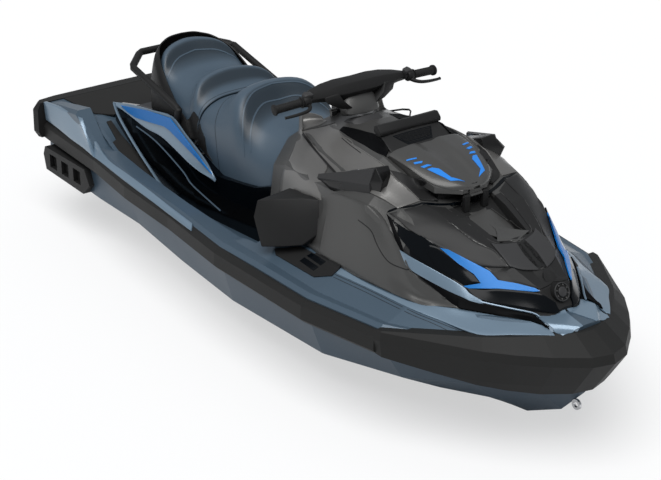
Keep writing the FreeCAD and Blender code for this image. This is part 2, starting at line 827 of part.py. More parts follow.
def make_grab_handle(pedestal):
    """A round bar swept along a bent path behind the seat, on a post at each side."""
    body = new_body("handle_form", "sizes.handle_foot_z - sizes.draft")
    body.setExpression("Placement.Base.x", "sizes.handle_foot_x")
    body.Placement.Rotation = Rotation(Vector(0, 1, 0), size("handle_rake"))
    path = sketch(body, "handle_path", "XY_Plane")
    half, long, bend = "sizes.handle_half", "sizes.handle_long", "sizes.handle_bend"
    corners = [
        ("0", half), ("-(%s - %s)" % (long, bend), half), ("-%s" % long, "%s - %s" % (half, bend)),
        ("-%s" % long, "-(%s - %s)" % (half, bend)), ("-(%s - %s)" % (long, bend), "-%s" % half),
        ("0", "-%s" % half),
    ]
    spots = [Vector(value(x), value(y), 0) for x, y in corners]
    for start, end in zip(spots, spots[1:]):
        path.addGeometry(Part.LineSegment(start, end), False)
    for index in range(len(spots) - 2):
        path.addConstraint(Sketcher.Constraint("Coincident", index, 2, index + 1, 1))
    for index in range(len(spots) - 1):
        bind_point(path, index, 1, *corners[index])
    bind_point(path, len(spots) - 2, 2, *corners[-1])
    ring = circle(sketch(body, "handle_ring", "YZ_Plane"), half, "0", "sizes.handle_radius")
    bar = feature(body, "AdditivePipe", ring)
    bar.Spine = (path, [])
    bar.Transition = "Round corner"
    for side, y in (("port", half), ("starboard", "-%s" % half)):
        post = circle(sketch(body, "handle_post_" + side, "XY_Plane"), "0", y,
                      "sizes.handle_radius")
        pad(body, post, "sizes.handle_post", False, True)
    return largest("grab_handle", cut("handle_cut", body, [pedestal]))


def on_column(name):
    """A body on the steering column's axis, its own z up along the column."""
    body = new_body(name, "sizes.column_z - sizes.draft")
    body.setExpression("Placement.Base.x", "sizes.column_x")
    body.Placement.Rotation = Rotation(Vector(0, 1, 0), -size("column_rake"))
    return body


def make_neck():
    """The fixed collar that the steering column turns in."""
    body = on_column("neck_form")
    inner = "sizes.column_radius + sizes.fit_gap"
    drawn = outline(sketch(body, "neck_profile", "XZ_Plane"), [
        (inner, "-sizes.neck_depth"), ("sizes.neck_base_radius", "-sizes.neck_depth"),
        ("sizes.neck_radius", "sizes.neck_rise"), (inner, "sizes.neck_rise"),
    ])
    turn(body, drawn, "V_Axis")
    return body


def make_column_bore():
    body = on_column("column_bore")
    drawn = circle(sketch(body, "column_circle", "XY_Plane"), "0", "0",
                   "sizes.column_radius + sizes.fit_gap")
    pad(body, drawn, "2 * sizes.column_deep", True)
    return body


def make_handlebar():
    """The stem, the clamp, the padded centre and the round bar in one body."""
    body = on_column("handlebar")
    stem = circle(sketch(body, "stem_circle", "XY_Plane"), "0", "0", "sizes.column_radius")
    pad(body, stem, "2 * sizes.neck_radius")
    hub = circle(sketch(body, "hub_circle", "XY_Plane", "sizes.neck_rise + sizes.run_gap"),
                 "0", "0", "sizes.neck_radius")
    pad(body, hub, "sizes.neck_radius")
    cushion = sketch(body, "cushion_side", "XZ_Plane")
    rectangle(
        cushion,
        ("sizes.bar_fore - sizes.cushion_long / 2", "sizes.bar_rise - sizes.cushion_tall / 2"),
        ("sizes.bar_fore + sizes.cushion_long / 2", "sizes.bar_rise + sizes.cushion_tall / 2"),
    )
    pad(body, cushion, "2 * sizes.cushion_half", True)
    bar = circle(sketch(body, "bar_circle", "XZ_Plane"), "sizes.bar_fore", "sizes.bar_rise",
                 "sizes.bar_radius")
    pad(body, bar, "2 * sizes.bar_half", True)
    return body


GRIP_INNER = "sizes.bar_half + sizes.bar_cap - sizes.grip_long"


def make_grip():
    """The starboard grip, a sleeve closed over the bar's end."""
    body = on_column("grip")
    drawn = circle(sketch(body, "grip_circle", "XZ_Plane", GRIP_INNER), "sizes.bar_fore",
                   "sizes.bar_rise", "sizes.grip_radius")
    pad(body, drawn, "sizes.grip_long")
    hole = circle(sketch(body, "grip_hole", "XZ_Plane", "sizes.bar_half"), "sizes.bar_fore",
                  "sizes.bar_rise", "sizes.bar_radius")
    pocket(body, hole, "sizes.bar_half - (%s)" % GRIP_INNER)
    return body


# The lever's arm in side view, as shares of the grip's radius from the bar's middle
LEVER_ARM_SHARES = [(0.85, -0.35), (2.52, -1.67), (2.20, -2.09), (0.52, -0.76)]
LEVER_REACH_SHARE = 0.7


def make_lever():
    """A clamp round the bar, an arm forward from it and the blade ahead of the grip."""
    body = on_column("lever")
    start = "%s - 2 * sizes.grip_radius" % GRIP_INNER
    ring = sketch(body, "lever_clamp", "XZ_Plane", start)
    circle(ring, "sizes.bar_fore", "sizes.bar_rise", "sizes.lever_clamp_radius")
    circle(ring, "sizes.bar_fore", "sizes.bar_rise", "sizes.bar_radius")
    pad(body, ring, "2 * sizes.grip_radius")
    points = [
        ("sizes.bar_fore + %g * sizes.grip_radius" % x, "sizes.bar_rise + %g * sizes.grip_radius" % z)
        for x, z in LEVER_ARM_SHARES
    ]
    middle = "%s - sizes.grip_radius" % GRIP_INNER
    arm = outline(sketch(body, "lever_arm", "XZ_Plane", middle), points)
    pad(body, arm, "sizes.lever_thick")
    (x_low, z_low), (x_high, z_high) = points[2], points[1]
    blade = sketch(body, "lever_blade", "XZ_Plane", middle)
    rectangle(blade, ("%s - sizes.lever_thick" % x_low, z_low), (x_high, z_high))
    pad(body, blade, "sizes.grip_radius + %g * sizes.grip_long" % LEVER_REACH_SHARE)
    return body


PUMP_LIFT = "sizes.shaft_z - sizes.draft"
PUMP_BACK = "(sizes.pump_front_x - sizes.pump_long)"
VENTURI_BACK = "(%s - sizes.venturi_long)" % PUMP_BACK
NOZZLE_PIVOT = "(%s - sizes.nozzle_pin_back)" % VENTURI_BACK
CORE_FRONT = "(sizes.pump_front_x - sizes.impeller_long - 2 * sizes.run_gap)"


def add_pins(body, name, x, radius, start, length):
    """Two upright pins, above and below, that run inward from a height off the axis."""
    for side, offset in (("top", start), ("bottom", "-(%s)" % start)):
        drawn = circle(sketch(body, "%s_%s" % (name, side), "XY_Plane", offset), x, "0", radius)
        pad(body, drawn, length, False, side == "top")


def make_pump():
    """The pump's housing and venturi, its hub on stator vanes, and the pivots astern."""
    body = new_body("pump", PUMP_LIFT)
    bore = "sizes.pump_radius - sizes.pump_wall"
    shell = outline(sketch(body, "pump_profile", "XZ_Plane"), [
        ("sizes.pump_front_x", "sizes.pump_radius"), (PUMP_BACK, "sizes.pump_radius"),
        (VENTURI_BACK, "sizes.venturi_radius + sizes.venturi_wall"),
        (VENTURI_BACK, "sizes.venturi_radius"), (PUMP_BACK, bore), ("sizes.pump_front_x", bore),
    ])
    turn(body, shell)
    vane = sketch(body, "stator_vane", "XZ_Plane")
    rectangle(vane, (PUMP_BACK, "sizes.hub_radius / 2"),
              (CORE_FRONT, "sizes.pump_radius - sizes.pump_wall / 2"))
    around(body, pad(body, vane, "sizes.blade_thick", True), "stator_ring", "sizes.stator_vanes")
    tail = "%s - sizes.venturi_long / 2" % PUMP_BACK
    core = outline(sketch(body, "pump_core", "XZ_Plane"), [
        (CORE_FRONT, "0"), (CORE_FRONT, "sizes.hub_radius"), (PUMP_BACK, "sizes.hub_radius"),
        (tail, "sizes.shaft_radius"), (tail, "0"),
    ])
    turn(body, core)
    low = "sizes.nozzle_radius + sizes.run_gap"
    high = low + " + sizes.nozzle_ear"
    ears = sketch(body, "pump_ears", "XZ_Plane")
    rear = "%s - sizes.nozzle_ear" % NOZZLE_PIVOT
    rectangle(ears, (rear, low), (PUMP_BACK, high))
    rectangle(ears, (rear, "-(%s)" % high), (PUMP_BACK, "-(%s)" % low))
    pad(body, ears, "2 * sizes.nozzle_ear", True)
    add_pins(body, "nozzle_pin", NOZZLE_PIVOT, "sizes.nozzle_pin_radius", high,
             "sizes.nozzle_ear + 2 * sizes.nozzle_wall")
    start = "2 * sizes.hub_radius"
    reach = "sizes.bucket_half + sizes.bucket_wall - %s" % start
    for side, offset in (("starboard", start), ("port", "-(%s)" % start)):
        pin = circle(sketch(body, "bucket_pin_" + side, "XZ_Plane", offset),
                     "sizes.bucket_pin_x", "0", "sizes.bucket_pin_radius")
        pad(body, pin, reach, False, side == "port")
    return body


def make_nozzle():
    """The steerable cone with a boss above and below for its pivots."""
    body = new_body("nozzle", PUMP_LIFT)
    front = "%s + sizes.nozzle_lead" % NOZZLE_PIVOT
    back = "%s - sizes.nozzle_long" % front
    post = circle(sketch(body, "nozzle_boss", "XY_Plane"), NOZZLE_PIVOT, "0",
                  "2 * sizes.nozzle_pin_radius")
    pad(body, post, "2 * sizes.nozzle_radius", True)
    shell = outline(sketch(body, "nozzle_profile", "XZ_Plane"), [
        (front, "sizes.nozzle_radius"), (back, "sizes.nozzle_end_radius"),
        (back, "sizes.nozzle_end_radius - sizes.nozzle_wall"),
        (front, "sizes.nozzle_radius - sizes.nozzle_wall"),
    ])
    turn(body, shell)
    room = outline(sketch(body, "nozzle_room", "XZ_Plane"), [
        (front, "0"), (front, "sizes.nozzle_radius - 2 * sizes.nozzle_wall"),
        (back, "sizes.nozzle_end_radius - 2 * sizes.nozzle_wall"), (back, "0"),
    ])
    turn(body, room, "H_Axis", "Groove")
    bore = circle(sketch(body, "nozzle_bore", "XY_Plane"), NOZZLE_PIVOT, "0",
                  "sizes.nozzle_pin_radius + sizes.fit_gap")
    pocket(body, bore, "4 * sizes.nozzle_radius", True)
    return body


def make_bucket():
    """A scoop between two cheeks, one profile turned through its sweep about the side pins."""
    body = new_body("reverse_bucket", PUMP_LIFT)
    body.setExpression("Placement.Base.x", "sizes.bucket_pin_x")
    body.Placement.Rotation = Rotation(Vector(0, 1, 0), 180 + size("bucket_start"))
    outer = "sizes.bucket_half + sizes.bucket_wall"
    inner = "sizes.bucket_radius - sizes.bucket_wall"
    profile = outline(sketch(body, "bucket_profile", "XY_Plane"), [
        ("0", outer), ("sizes.bucket_radius", outer), ("sizes.bucket_radius", "-(%s)" % outer),
        ("0", "-(%s)" % outer), ("0", "-sizes.bucket_half"), (inner, "-sizes.bucket_half"),
        (inner, "sizes.bucket_half"), ("0", "sizes.bucket_half"),
    ])
    scoop = turn(body, profile, "V_Axis")
    scoop.setExpression("Angle", "sizes.bucket_sweep")
    for side, offset in (("starboard", "sizes.bucket_half"), ("port", "-sizes.bucket_half")):
        boss = circle(sketch(body, "bucket_boss_" + side, "XZ_Plane", offset), "0", "0",
                      "2 * sizes.bucket_pin_radius")
        pad(body, boss, "sizes.bucket_wall", False, side == "port")
    bore = circle(sketch(body, "bucket_bore", "XZ_Plane"), "0", "0",
                  "sizes.bucket_pin_radius + sizes.fit_gap")
    pocket(body, bore, "4 * sizes.bucket_half", True)
    return body


# The blade's sections along the impeller, as shares of its length and of its turn
BLADE_SHARES = (0.0, 0.25, 0.5, 0.75, 1.0)


def make_impeller():
    """A bored hub with twisted blades, one loft repeated round the shaft."""
    body = new_body("impeller", PUMP_LIFT)
    back = "(sizes.pump_front_x - sizes.impeller_long - sizes.run_gap)"
    hub = circle(sketch(body, "impeller_hub", "YZ_Plane", back), "0", "0",
                 "sizes.hub_radius - sizes.fit_gap")
    pad(body, hub, "sizes.impeller_long")
    drawn = []
    for index, share in enumerate(BLADE_SHARES):
        run = "(sizes.impeller_long - 2 * sizes.blade_thick)"
        place = "%s + sizes.blade_thick + %g * %s" % (back, share, run)
        section = sketch(body, "blade_section_%d" % index, "YZ_Plane", place)
        section.setExpression("AttachmentOffset.Rotation.Angle", "%g * sizes.blade_turn" % share)
        rectangle(section, ("-sizes.blade_thick / 2", "sizes.hub_radius / 2"),
                  ("sizes.blade_thick / 2", "sizes.impeller_radius"))
        drawn.append(section)
    around(body, lofted(body, drawn), "blades", "sizes.impeller_blades")
    bore = circle(sketch(body, "impeller_bore", "YZ_Plane", back), "0", "0",
                  "sizes.shaft_radius")
    pocket(body, bore, "sizes.impeller_long", False, True)
    return body


def shaft_bar(name, radius, low, high):
    """A round bar along the pump's axis."""
    bar = doc.addObject("Part::Cylinder", name)
    bar.setExpression("Radius", radius)
    bar.setExpression("Height", "%s - (%s)" % (high, low))
    bar.setExpression("Placement.Base.x", low)
    bar.setExpression("Placement.Base.z", PUMP_LIFT)
    bar.Placement.Rotation = Rotation(Vector(0, 1, 0), 90)
    return bar


GRATE_FRONT = "(sizes.pump_front_x + sizes.duct_run)"
GRATE_BACK = "(%s - sizes.grate_long)" % GRATE_FRONT


def make_grate():
    """Cross bars at both ends of the intake's mouth and a row of bars along it."""
    body = new_body("intake_grate")
    body.AllowCompound = True
    pitch = "(2 * sizes.grate_half / sizes.grate_bars)"
    low = "-sizes.grate_half + %s / 2 - sizes.grate_bar / 2" % pitch
    bar = sketch(body, "grate_rod", "XY_Plane")
    rectangle(bar, (GRATE_BACK, low), (GRATE_FRONT, low + " + sizes.grate_bar"))
    rods = pad(body, bar, "sizes.grate_tall")
    axes = [item for item in body.Origin.OriginFeatures if item.Role == "Y_Axis"]
    in_line(body, rods, "grate_rods", (axes[0], [""]), "2 * sizes.grate_half - %s" % pitch,
            "sizes.grate_bars")
    ends = sketch(body, "grate_ends", "XY_Plane", "sizes.grate_tall - sizes.grate_bar")
    for start in (GRATE_BACK, "%s - 2 * sizes.grate_bar" % GRATE_FRONT):
        rectangle(ends, (start, "-sizes.grate_half"),
                  ("%s + 2 * sizes.grate_bar" % start, "sizes.grate_half"))
    pad(body, ends, "sizes.grate_bar")
    return body


def make_ride_plate():
    """A plate that closes the tunnel from below, following the bottom's vee."""
    body = new_body("ride_plate")
    stern = HULL_SHARES[0]
    rise = "sizes.tunnel_half * %s / (%s)" % (rising(stern[3]), across(stern[2]))
    half = [
        ("0", "0"), ("sizes.tunnel_half", rise),
        ("sizes.tunnel_half", rise + " + sizes.plate_thick"), ("0", "sizes.plate_thick"),
    ]
    drawn = outline(sketch(body, "plate_section", "YZ_Plane", "sizes.transom_x"),
                    both_sides(half))
    pad(body, drawn, "sizes.plate_long")
    return body


def make_eye(name, x, z, offset):
    """A round eye whose far rim is bedded in the moulding behind it."""
    body = new_body(name)
    drawn = sketch(body, name + "_rings", "XZ_Plane", offset)
    circle(drawn, x, z, "sizes.eye_radius + sizes.eye_wire")
    circle(drawn, x, z, "sizes.eye_radius - sizes.eye_wire")
    pad(body, drawn, "2 * sizes.eye_wire", True)
    return body


# The sponson in side view: forward from its rear end and down from its top
SPONSON_SHARES = [
    (0, 0), (-0.045, 0.33), (0, 0.9), (0.85, 1.0), (1.0, 0.55), (0.9, 0),
]
SPONSON_ROOT_SHARE = 0.5
SPONSON_FACE_SHARE = 0.735
WINDOW_SHARES = ((0.10, 0.72), (0.26, 0.2))
WINDOW_PITCH_SHARE = 0.27
WINDOW_DEPTH_SHARE = 0.6


def make_sponson(hull):
    """A side fin under the rail with a row of windows sunk into its face."""
    body = new_body("sponson_form")

    def place(x, z):
        return (
            "sizes.sponson_x + %g * sizes.sponson_long" % x,
            "sizes.rail_bottom - sizes.run_gap - %g * sizes.sponson_tall" % z,
        )

    face = "(%s + sizes.sponson_thick)" % across(SPONSON_FACE_SHARE)
    root = across(SPONSON_ROOT_SHARE)
    side = outline(sketch(body, "sponson_side", "XZ_Plane", root),
                   [place(x, z) for x, z in SPONSON_SHARES])
    pad(body, side, "%s - %s" % (face, root))
    window = sketch(body, "sponson_window", "XZ_Plane", face)
    rectangle(window, place(*WINDOW_SHARES[0]), place(*WINDOW_SHARES[1]))
    sunk = pocket(body, window, "%g * sizes.sponson_thick" % WINDOW_DEPTH_SHARE)
    axes = [item for item in body.Origin.OriginFeatures if item.Role == "X_Axis"]
    pitch = "%g * sizes.sponson_long" % WINDOW_PITCH_SHARE
    in_line(body, sunk, "sponson_windows", (axes[0], [""]),
            "%s * (sizes.sponson_windows - 1)" % pitch, "sizes.sponson_windows")
    return largest("sponson", cut("sponson_cut", body, [hull]))


# The platform's mat in plan, as (x, y), and the level that it lies at
MAT_SHARES = [(-0.96, 0.56), (-0.80, 0.54), (-0.76, 0.44)]
PLATFORM_SHARE = 1.10


def make_platform_mat():
    body = new_body("platform_mat")
    drawn = sketch(body, "mat_outline", "XY_Plane", rising(PLATFORM_SHARE))
    outline(drawn, in_plan([(along(x), across(y)) for x, y in MAT_SHARES]))
    pad(body, drawn, "sizes.mat_thick")
    return body


MAT_SIDE_SHARES = (0.5, 0.06)


def make_footwell_mat(pedestal):
    body = new_body("well_mat_form")
    inner, back = MAT_SIDE_SHARES
    drawn = []
    for index, (x, y, floor, ahead) in enumerate(WELL_SHARES[:-1]):
        station = sketch(body, "well_mat_station_%d" % index, "YZ_Plane", along(x))
        low, high = rising(floor), "%s + sizes.mat_thick" % rising(floor)
        drawn.append(rectangle(station, (across(inner), low), (across(y - back), high)))
    lofted(body, drawn)
    return largest("footwell_mat", cut("well_mat_cut", body, [pedestal]))


# The visor in side view, and the display on its rear face with the lean of that face
VISOR_SHARES = [
    (0.262, 1.80), (0.285, 2.0), (0.304, 2.025), (0.312, 1.945), (0.352, 1.885), (0.352, 1.80),
]
VISOR_WIDE_SHARE = 0.48
DISPLAY_SHARES = [(0.27235, 1.89), (0.28339, 1.986)]
DISPLAY_LEAN_SHARES = (-0.9295, 0.3685)
DISPLAY_WIDE_SHARE = 0.32


def make_display():
    low, high = in_shares(DISPLAY_SHARES)
    lean_x, lean_z = ["%g * sizes.glass_thick" % lean for lean in DISPLAY_LEAN_SHARES]
    raised = [("%s + %s" % (x, lean_x), "%s + %s" % (z, lean_z)) for x, z in (high, low)]
    return side_prism("display", [low, high] + raised, across(DISPLAY_WIDE_SHARE))


# Blue wings on the fascia beside the bow cap, in side view
ACCENT_SHARES = [
    (0.60, 1.46), (0.67, 1.36), (0.70, 1.29), (0.79, 1.20), (0.70, 1.22), (0.655, 1.22),
    (0.675, 1.27),
]
ACCENT_SIDE_SHARE = 0.1


def make_accent(front):
    raised = stations("accent_form", FRONT_SHARES, front_section("(-sizes.skin / 3)"))
    slab = side_prism("accent_slab", in_shares(ACCENT_SHARES), "sizes.half_beam", False,
                      across(ACCENT_SIDE_SHARE))
    return largest("accent", common("accent_common", cut("accent_skin", raised, [front]), slab))


# The bow cap's centre on the fascia, and the slope that it faces along
CAP_SHARES = (0.815, 1.20)
CAP_SLOPE = 26.57


def make_bow_cap(front):
    cap = new_body("cap_form", "%s - sizes.draft" % rising(CAP_SHARES[1]))
    cap.setExpression("Placement.Base.x", along(CAP_SHARES[0]))
    cap.Placement.Rotation = Rotation(Vector(0, 1, 0), 90 - CAP_SLOPE)
    disc = circle(sketch(cap, "cap_circle", "XY_Plane", "-2.5 * sizes.cap_thick"), "0", "0",
                  "sizes.cap_radius")
    pad(cap, disc, "3 * sizes.cap_thick")
    return largest("bow_cap", cut("cap_cut", cap, [front]))


def glove_block(name, grow):
    """The space above and below the glovebox's lid, wider than the lid by a term."""
    return block(
        name, "sizes.glove_back - %s" % grow, "-sizes.glove_half - %s" % grow,
        "sizes.deck_height", "sizes.glove_front - sizes.glove_back + 2 * %s" % grow,
        "2 * sizes.glove_half + 2 * %s" % grow, "sizes.deck_height",
    )


def make_glove_lid(shell):
    """The lid cut from the console's skin, with an arm, a knuckle and a pin."""
    x, z = "sizes.glove_pin_x", "sizes.glove_pin_z"
    radius = "sizes.lid_hinge_radius"
    body = new_body("glove_hinge")
    body.AllowCompound = True
    arm = sketch(body, "glove_arm", "XZ_Plane")
    rectangle(arm, ("sizes.glove_front - 2 * sizes.skin", "%s - 4 * %s" % (z, radius)),
              ("sizes.glove_front", "%s + %s" % (z, radius)))
    pad(body, arm, "sizes.lid_hinge_long", True)
    bridge = sketch(body, "glove_bridge", "XZ_Plane")
    rectangle(bridge, ("sizes.glove_front - %s" % radius, "%s - %s / 2" % (z, radius)),
              (x, "%s + %s" % (z, radius)))
    pad(body, bridge, "sizes.lid_hinge_long", True)
    hinge_circle(body, "glove_knuckle", x, z, radius, "sizes.lid_hinge_long")
    hinge_circle(body, "glove_pin", x, z, "sizes.lid_pin_radius", "2 * sizes.lid_hinge_long")
    skin = common("glove_skin", shell, glove_block("glove_patch", "0"))
    return largest("glove_lid", fused("glove_fused", [skin, body]))


def make_socket():
    """A quick-attach socket of the stern platform."""
    body = new_body("cargo_socket")
    top = "%s + sizes.mat_thick" % rising(PLATFORM_SHARE)
    ring = circle(sketch(body, "socket_rim", "XY_Plane", top), "sizes.socket_x",
                  "sizes.socket_y", "1.5 * sizes.eye_radius")
    pad(body, ring, "sizes.eye_radius")
    hole = circle(sketch(body, "socket_hole", "XY_Plane", "%s + sizes.eye_radius" % top),
                  "sizes.socket_x", "sizes.socket_y", "sizes.eye_radius")
    pocket(body, hole, "sizes.eye_radius - sizes.eye_wire")
    return body


# Slabs across the craft that hold the bins, as x from the frame's rear
def slab(name, low, high):
    return block(name, low, "-sizes.half_beam", "0", "(%s) - (%s)" % (high, low),
                 "2 * sizes.half_beam", "3 * sizes.deck_height")


def make_duct():
    """The sloping intake from the mouth under the keel up to the pump."""
    body = new_body("duct", PUMP_LIFT)
    body.setExpression("Placement.Base.x", "sizes.pump_front_x")
    fall = math.degrees(math.atan2(size("duct_drop"), size("duct_run")))
    body.Placement.Rotation = Rotation(Vector(0, 1, 0), 90 + fall)
    drawn = circle(sketch(body, "duct_circle", "XY_Plane"), "0", "0", "sizes.duct_radius")
    pad(body, drawn, "3 * sizes.duct_run", True)
    return body


def build():
    wall, top = "sizes.pan_wall", "sizes.bond_height + sizes.fit_gap"
    pan = well_form("pan", wall, top)
    well = well_form("well", "0", rising(2))
    hull_form = stations("hull_form", HULL_SHARES, hull_section)
    deck_form = stations("deck_form", DECK_SHARES, deck_section)
    engine = block("engine_block", "sizes.engine_x", "-sizes.engine_wide / 2", "sizes.engine_z",
                   "sizes.engine_long", "sizes.engine_wide", "sizes.engine_tall")
    deck = largest("deck", cut("deck_cut", fused("deck_whole", [deck_form, pan]), [well, engine]))
    low = "-sizes.overrun"
    astern = "sizes.transom_x - sizes.overrun"
    half = "-sizes.tunnel_half"
    wide = "2 * sizes.tunnel_half"
    tall = "sizes.tunnel_top + sizes.overrun"
    tunnel = block("tunnel", astern, half, low, "%s - (%s)" % (GRATE_FRONT, astern), wide, tall)
    bay = block("bay", astern, half, low, "sizes.bay_long + sizes.overrun", wide,
                "sizes.bay_top + sizes.overrun")
    shaft_room = shaft_bar("shaft_room", "sizes.shaft_radius + sizes.fit_gap",
                           "sizes.pump_front_x", "sizes.engine_x + sizes.overrun")
    hull = largest("hull", cut("hull_cut", hull_form,
                               [tunnel, bay, shaft_room, pan, engine, deck]))
    node(hull)
    node(deck)
    node(engine)
    shoe_block = block("shoe_block", "sizes.pump_front_x", half, "0", "sizes.duct_run", wide,
                       "sizes.tunnel_top")
    seat_block = block("grate_seat", GRATE_BACK, "-sizes.grate_half", low, "sizes.grate_long",
                       "2 * sizes.grate_half", "sizes.grate_tall + sizes.overrun")
    shoe = common("shoe_whole", hull_form, shoe_block)
    node(largest("intake_shoe", cut("shoe_cut", shoe, [make_duct(), shaft_room, seat_block])))
    pedestal_form = stations("pedestal_form", PEDESTAL_SHARES, pedestal_section)
    pedestal = node(largest("pedestal", cut("pedestal_cut", pedestal_form, [deck, engine])))
    raised = doc.addObject("Part::Compound", "pedestal_raised")
    raised.Links = [pedestal]
    raised.setExpression("Placement.Base.z", "sizes.soft_gap")
    for name, table in (("driver_seat", DRIVER_SHARES), ("passenger_seat", PASSENGER_SHARES)):
        form = stations(name + "_form", table, over_section)
        node(largest(name, cut(name + "_cut", form, [pedestal, raised])))

    front = stations("front_form", FRONT_SHARES, front_section("0"))
    core = stations("front_core", FRONT_SHARES, front_section("sizes.skin"))
    recess = stations("recess", RECESS_SHARES, recess_section)
    lid_room = make_lid_room()
    hinge_x, hinge_z = along(LID_HINGE_SHARES[0]), rising(LID_HINGE_SHARES[1])
    ears = make_ears("lid_ears", hinge_x, hinge_z, "%s - sizes.lid_hinge_radius" % hinge_x,
                     "%s + sizes.lid_hinge_radius" % hinge_x, "%s - sizes.overrun" % hinge_z)
    bin_outer = bin_form("bin_outer", "sizes.bin_wall", "sizes.bin_rim")
    bin_inner = bin_form("bin_inner", "0", "sizes.bin_rim")
    bin_way = bin_form("bin_way", "sizes.bin_wall", "2 * sizes.deck_height")
    column_bore = make_column_bore()
    shell = cut("shell", front, [core, recess, deck, lid_room, pedestal, bin_way])
    glove_lid = make_glove_lid(shell)
    open_shell = cut("open_shell", shell, [glove_block("glove_space", "sizes.run_gap"),
                                           column_bore, ears])
    side = side_prism("side_slab", in_shares(SIDE_PANEL_SHARES), "2 * sizes.half_beam", False)
    lens = side_prism("lens_slab", in_shares(LENS_SHARES), "2 * sizes.half_beam", False,
                      across(LENS_SIDE_SHARE))
    side_panel = largest("side_panel", common("side_common", open_shell, side))
    lens_panel = largest("lens_panel", common("lens_common", cut("lens_skin", open_shell, [side]),
                                              lens))
    rest = cut("front_rest", open_shell, [side, mirrored("side_port", side), lens,
                                          mirrored("lens_port", lens)])
    rear = slab("rear_slab", "-sizes.half_length", along(CONSOLE_END_SHARE))
    glove_x, glove_z = "sizes.glove_pin_x", "sizes.glove_pin_z"
    lugs = make_ears("glove_ears", glove_x, glove_z, "sizes.glove_front + sizes.run_gap",
                     "%s + 2 * sizes.lid_hinge_radius" % glove_x,
                     "%s - 6 * sizes.lid_hinge_radius" % glove_z)
    cover = fused("console_whole", [common("console_skin", rest, rear), cut("lugs", lugs, [core])])
    glove_bore = new_body("glove_bore")
    hinge_circle(glove_bore, "glove_bore_circle", glove_x, glove_z,
                 "sizes.lid_pin_radius + sizes.fit_gap", "6 * sizes.overrun")
    console = largest("console", cut("console_cut", cover, [glove_bore]))
    fascia = largest("fascia", cut("fascia_cut", rest, [rear]))

    tools = [recess, deck, lid_room, bin_way, engine, pedestal, column_bore]
    solid = fused("frame_whole", [cut("frame_core", core, tools), ears])
    frame = cut("frame", solid, [make_ear_bore(hinge_x, hinge_z)])
    glove_end = "sizes.glove_front + 4 * sizes.skin"
    rear_bay = slab("rear_bay", "-sizes.half_length", glove_end)
    bin_bay = slab("bin_bay", "sizes.bin_x - sizes.bin_wall",
                   "sizes.bin_x + sizes.bin_long + sizes.bin_wall")
    channel = block("glove_channel", "-sizes.half_length", "-sizes.glove_half",
                    "sizes.glove_pin_z - sizes.glove_deep - 4 * sizes.skin",
                    "sizes.half_length + %s" % glove_end, "2 * sizes.glove_half",
                    "sizes.deck_height")
    bays = fused("bays", [rear_bay, bin_bay])
    node(cut("front_frame", frame, [bays]))
    node(cut("bin_frames", common("bays_common", frame, bays), [channel]))
    room = block("glove_room", "sizes.glove_back + 2 * sizes.skin",
                 "-sizes.glove_half + 2 * sizes.skin",
                 "sizes.glove_pin_z - sizes.glove_deep - 2 * sizes.skin",
                 "sizes.glove_front - sizes.glove_back - 4 * sizes.skin",
                 "2 * sizes.glove_half - 4 * sizes.skin", "sizes.deck_height")
    bin_core = common("glove_whole", common("glove_core", frame, rear_bay), channel)
    node(largest("glovebox_bin", cut("glove_bin_cut", bin_core, [room])))
    pair("side_panels", side_panel)
    pair("lens_panels", lens_panel)
    node(console)
    node(fascia)
    node(cut("storage_bin", bin_outer, [bin_inner]))
    node(make_lid())
    visor = side_prism("visor_form", in_shares(VISOR_SHARES), across(VISOR_WIDE_SHARE))
    node(largest("visor", cut("visor_cut", visor, [front])))
    node(make_display())
    pair("mirrors", largest("mirror", cut("mirror_cut", make_mirror(), [front])))
    glass = cut("mirror_glass_cut", make_mirror_glass(), [front])
    pair("mirror_glasses", largest("mirror_glass_plate", glass))
    pair("accents", make_accent(front))
    node(make_bow_cap(front))
    rail = largest("rail", cut("rail_cut", make_rail(), [hull_form, deck_form]))
    pair("rub_rails", rail)
    node(make_bow_bumper(hull_form, deck_form))
    node(make_stern_bumper())
    pair("side_trims", make_swoosh())
    low_y, high_y = [across(share) for share in POD_SIDE_SHARES]
    pod = side_prism("pod_form", in_shares(POD_SHARES), "%s - %s" % (high_y, low_y), False, low_y)
    pair("footwell_pods", largest("pod", cut("pod_cut", pod, [deck, front])))
    node(make_grab_handle(pedestal))
    neck = largest("steering_neck", cut("neck_cut", make_neck(), [front]))
    node(neck)
    node(make_handlebar())
    pair("grips", make_grip())
    pair("levers", make_lever())
    node(make_pump())
    node(make_nozzle())
    node(make_bucket())
    node(glove_lid)
    node(make_impeller())
    node(shaft_bar("drive_shaft", "sizes.shaft_radius",
                   "sizes.pump_front_x - sizes.run_gap - sizes.impeller_long",
                   "sizes.engine_x - sizes.soft_gap"))
    pair("cargo_fittings", make_socket())
    node(make_grate())
    node(make_ride_plate())
    bow = make_eye("bow_eye_form", "sizes.bow_eye_x", "sizes.bow_eye_z", "0")
    node(largest("bow_eye", cut("bow_eye_cut", bow, [hull])))
    stern = make_eye("stern_eye_form", "sizes.transom_x - sizes.eye_radius", "sizes.stern_eye_z",
                     "sizes.stern_eye_y")
    pair("stern_eyes", largest("stern_eye", cut("stern_eye_cut", stern, [hull])))
    pair("sponsons", make_sponson(hull))
    node(make_platform_mat())
    pair("footwell_mats", make_footwell_mat(pedestal))


def make_ear_bore(x, z):
    body = new_body("ear_bore")
    hinge_circle(body, "ear_bore_circle", x, z, "sizes.lid_pin_radius + sizes.fit_gap",
                 "4 * sizes.lid_hinge_long")
    return body


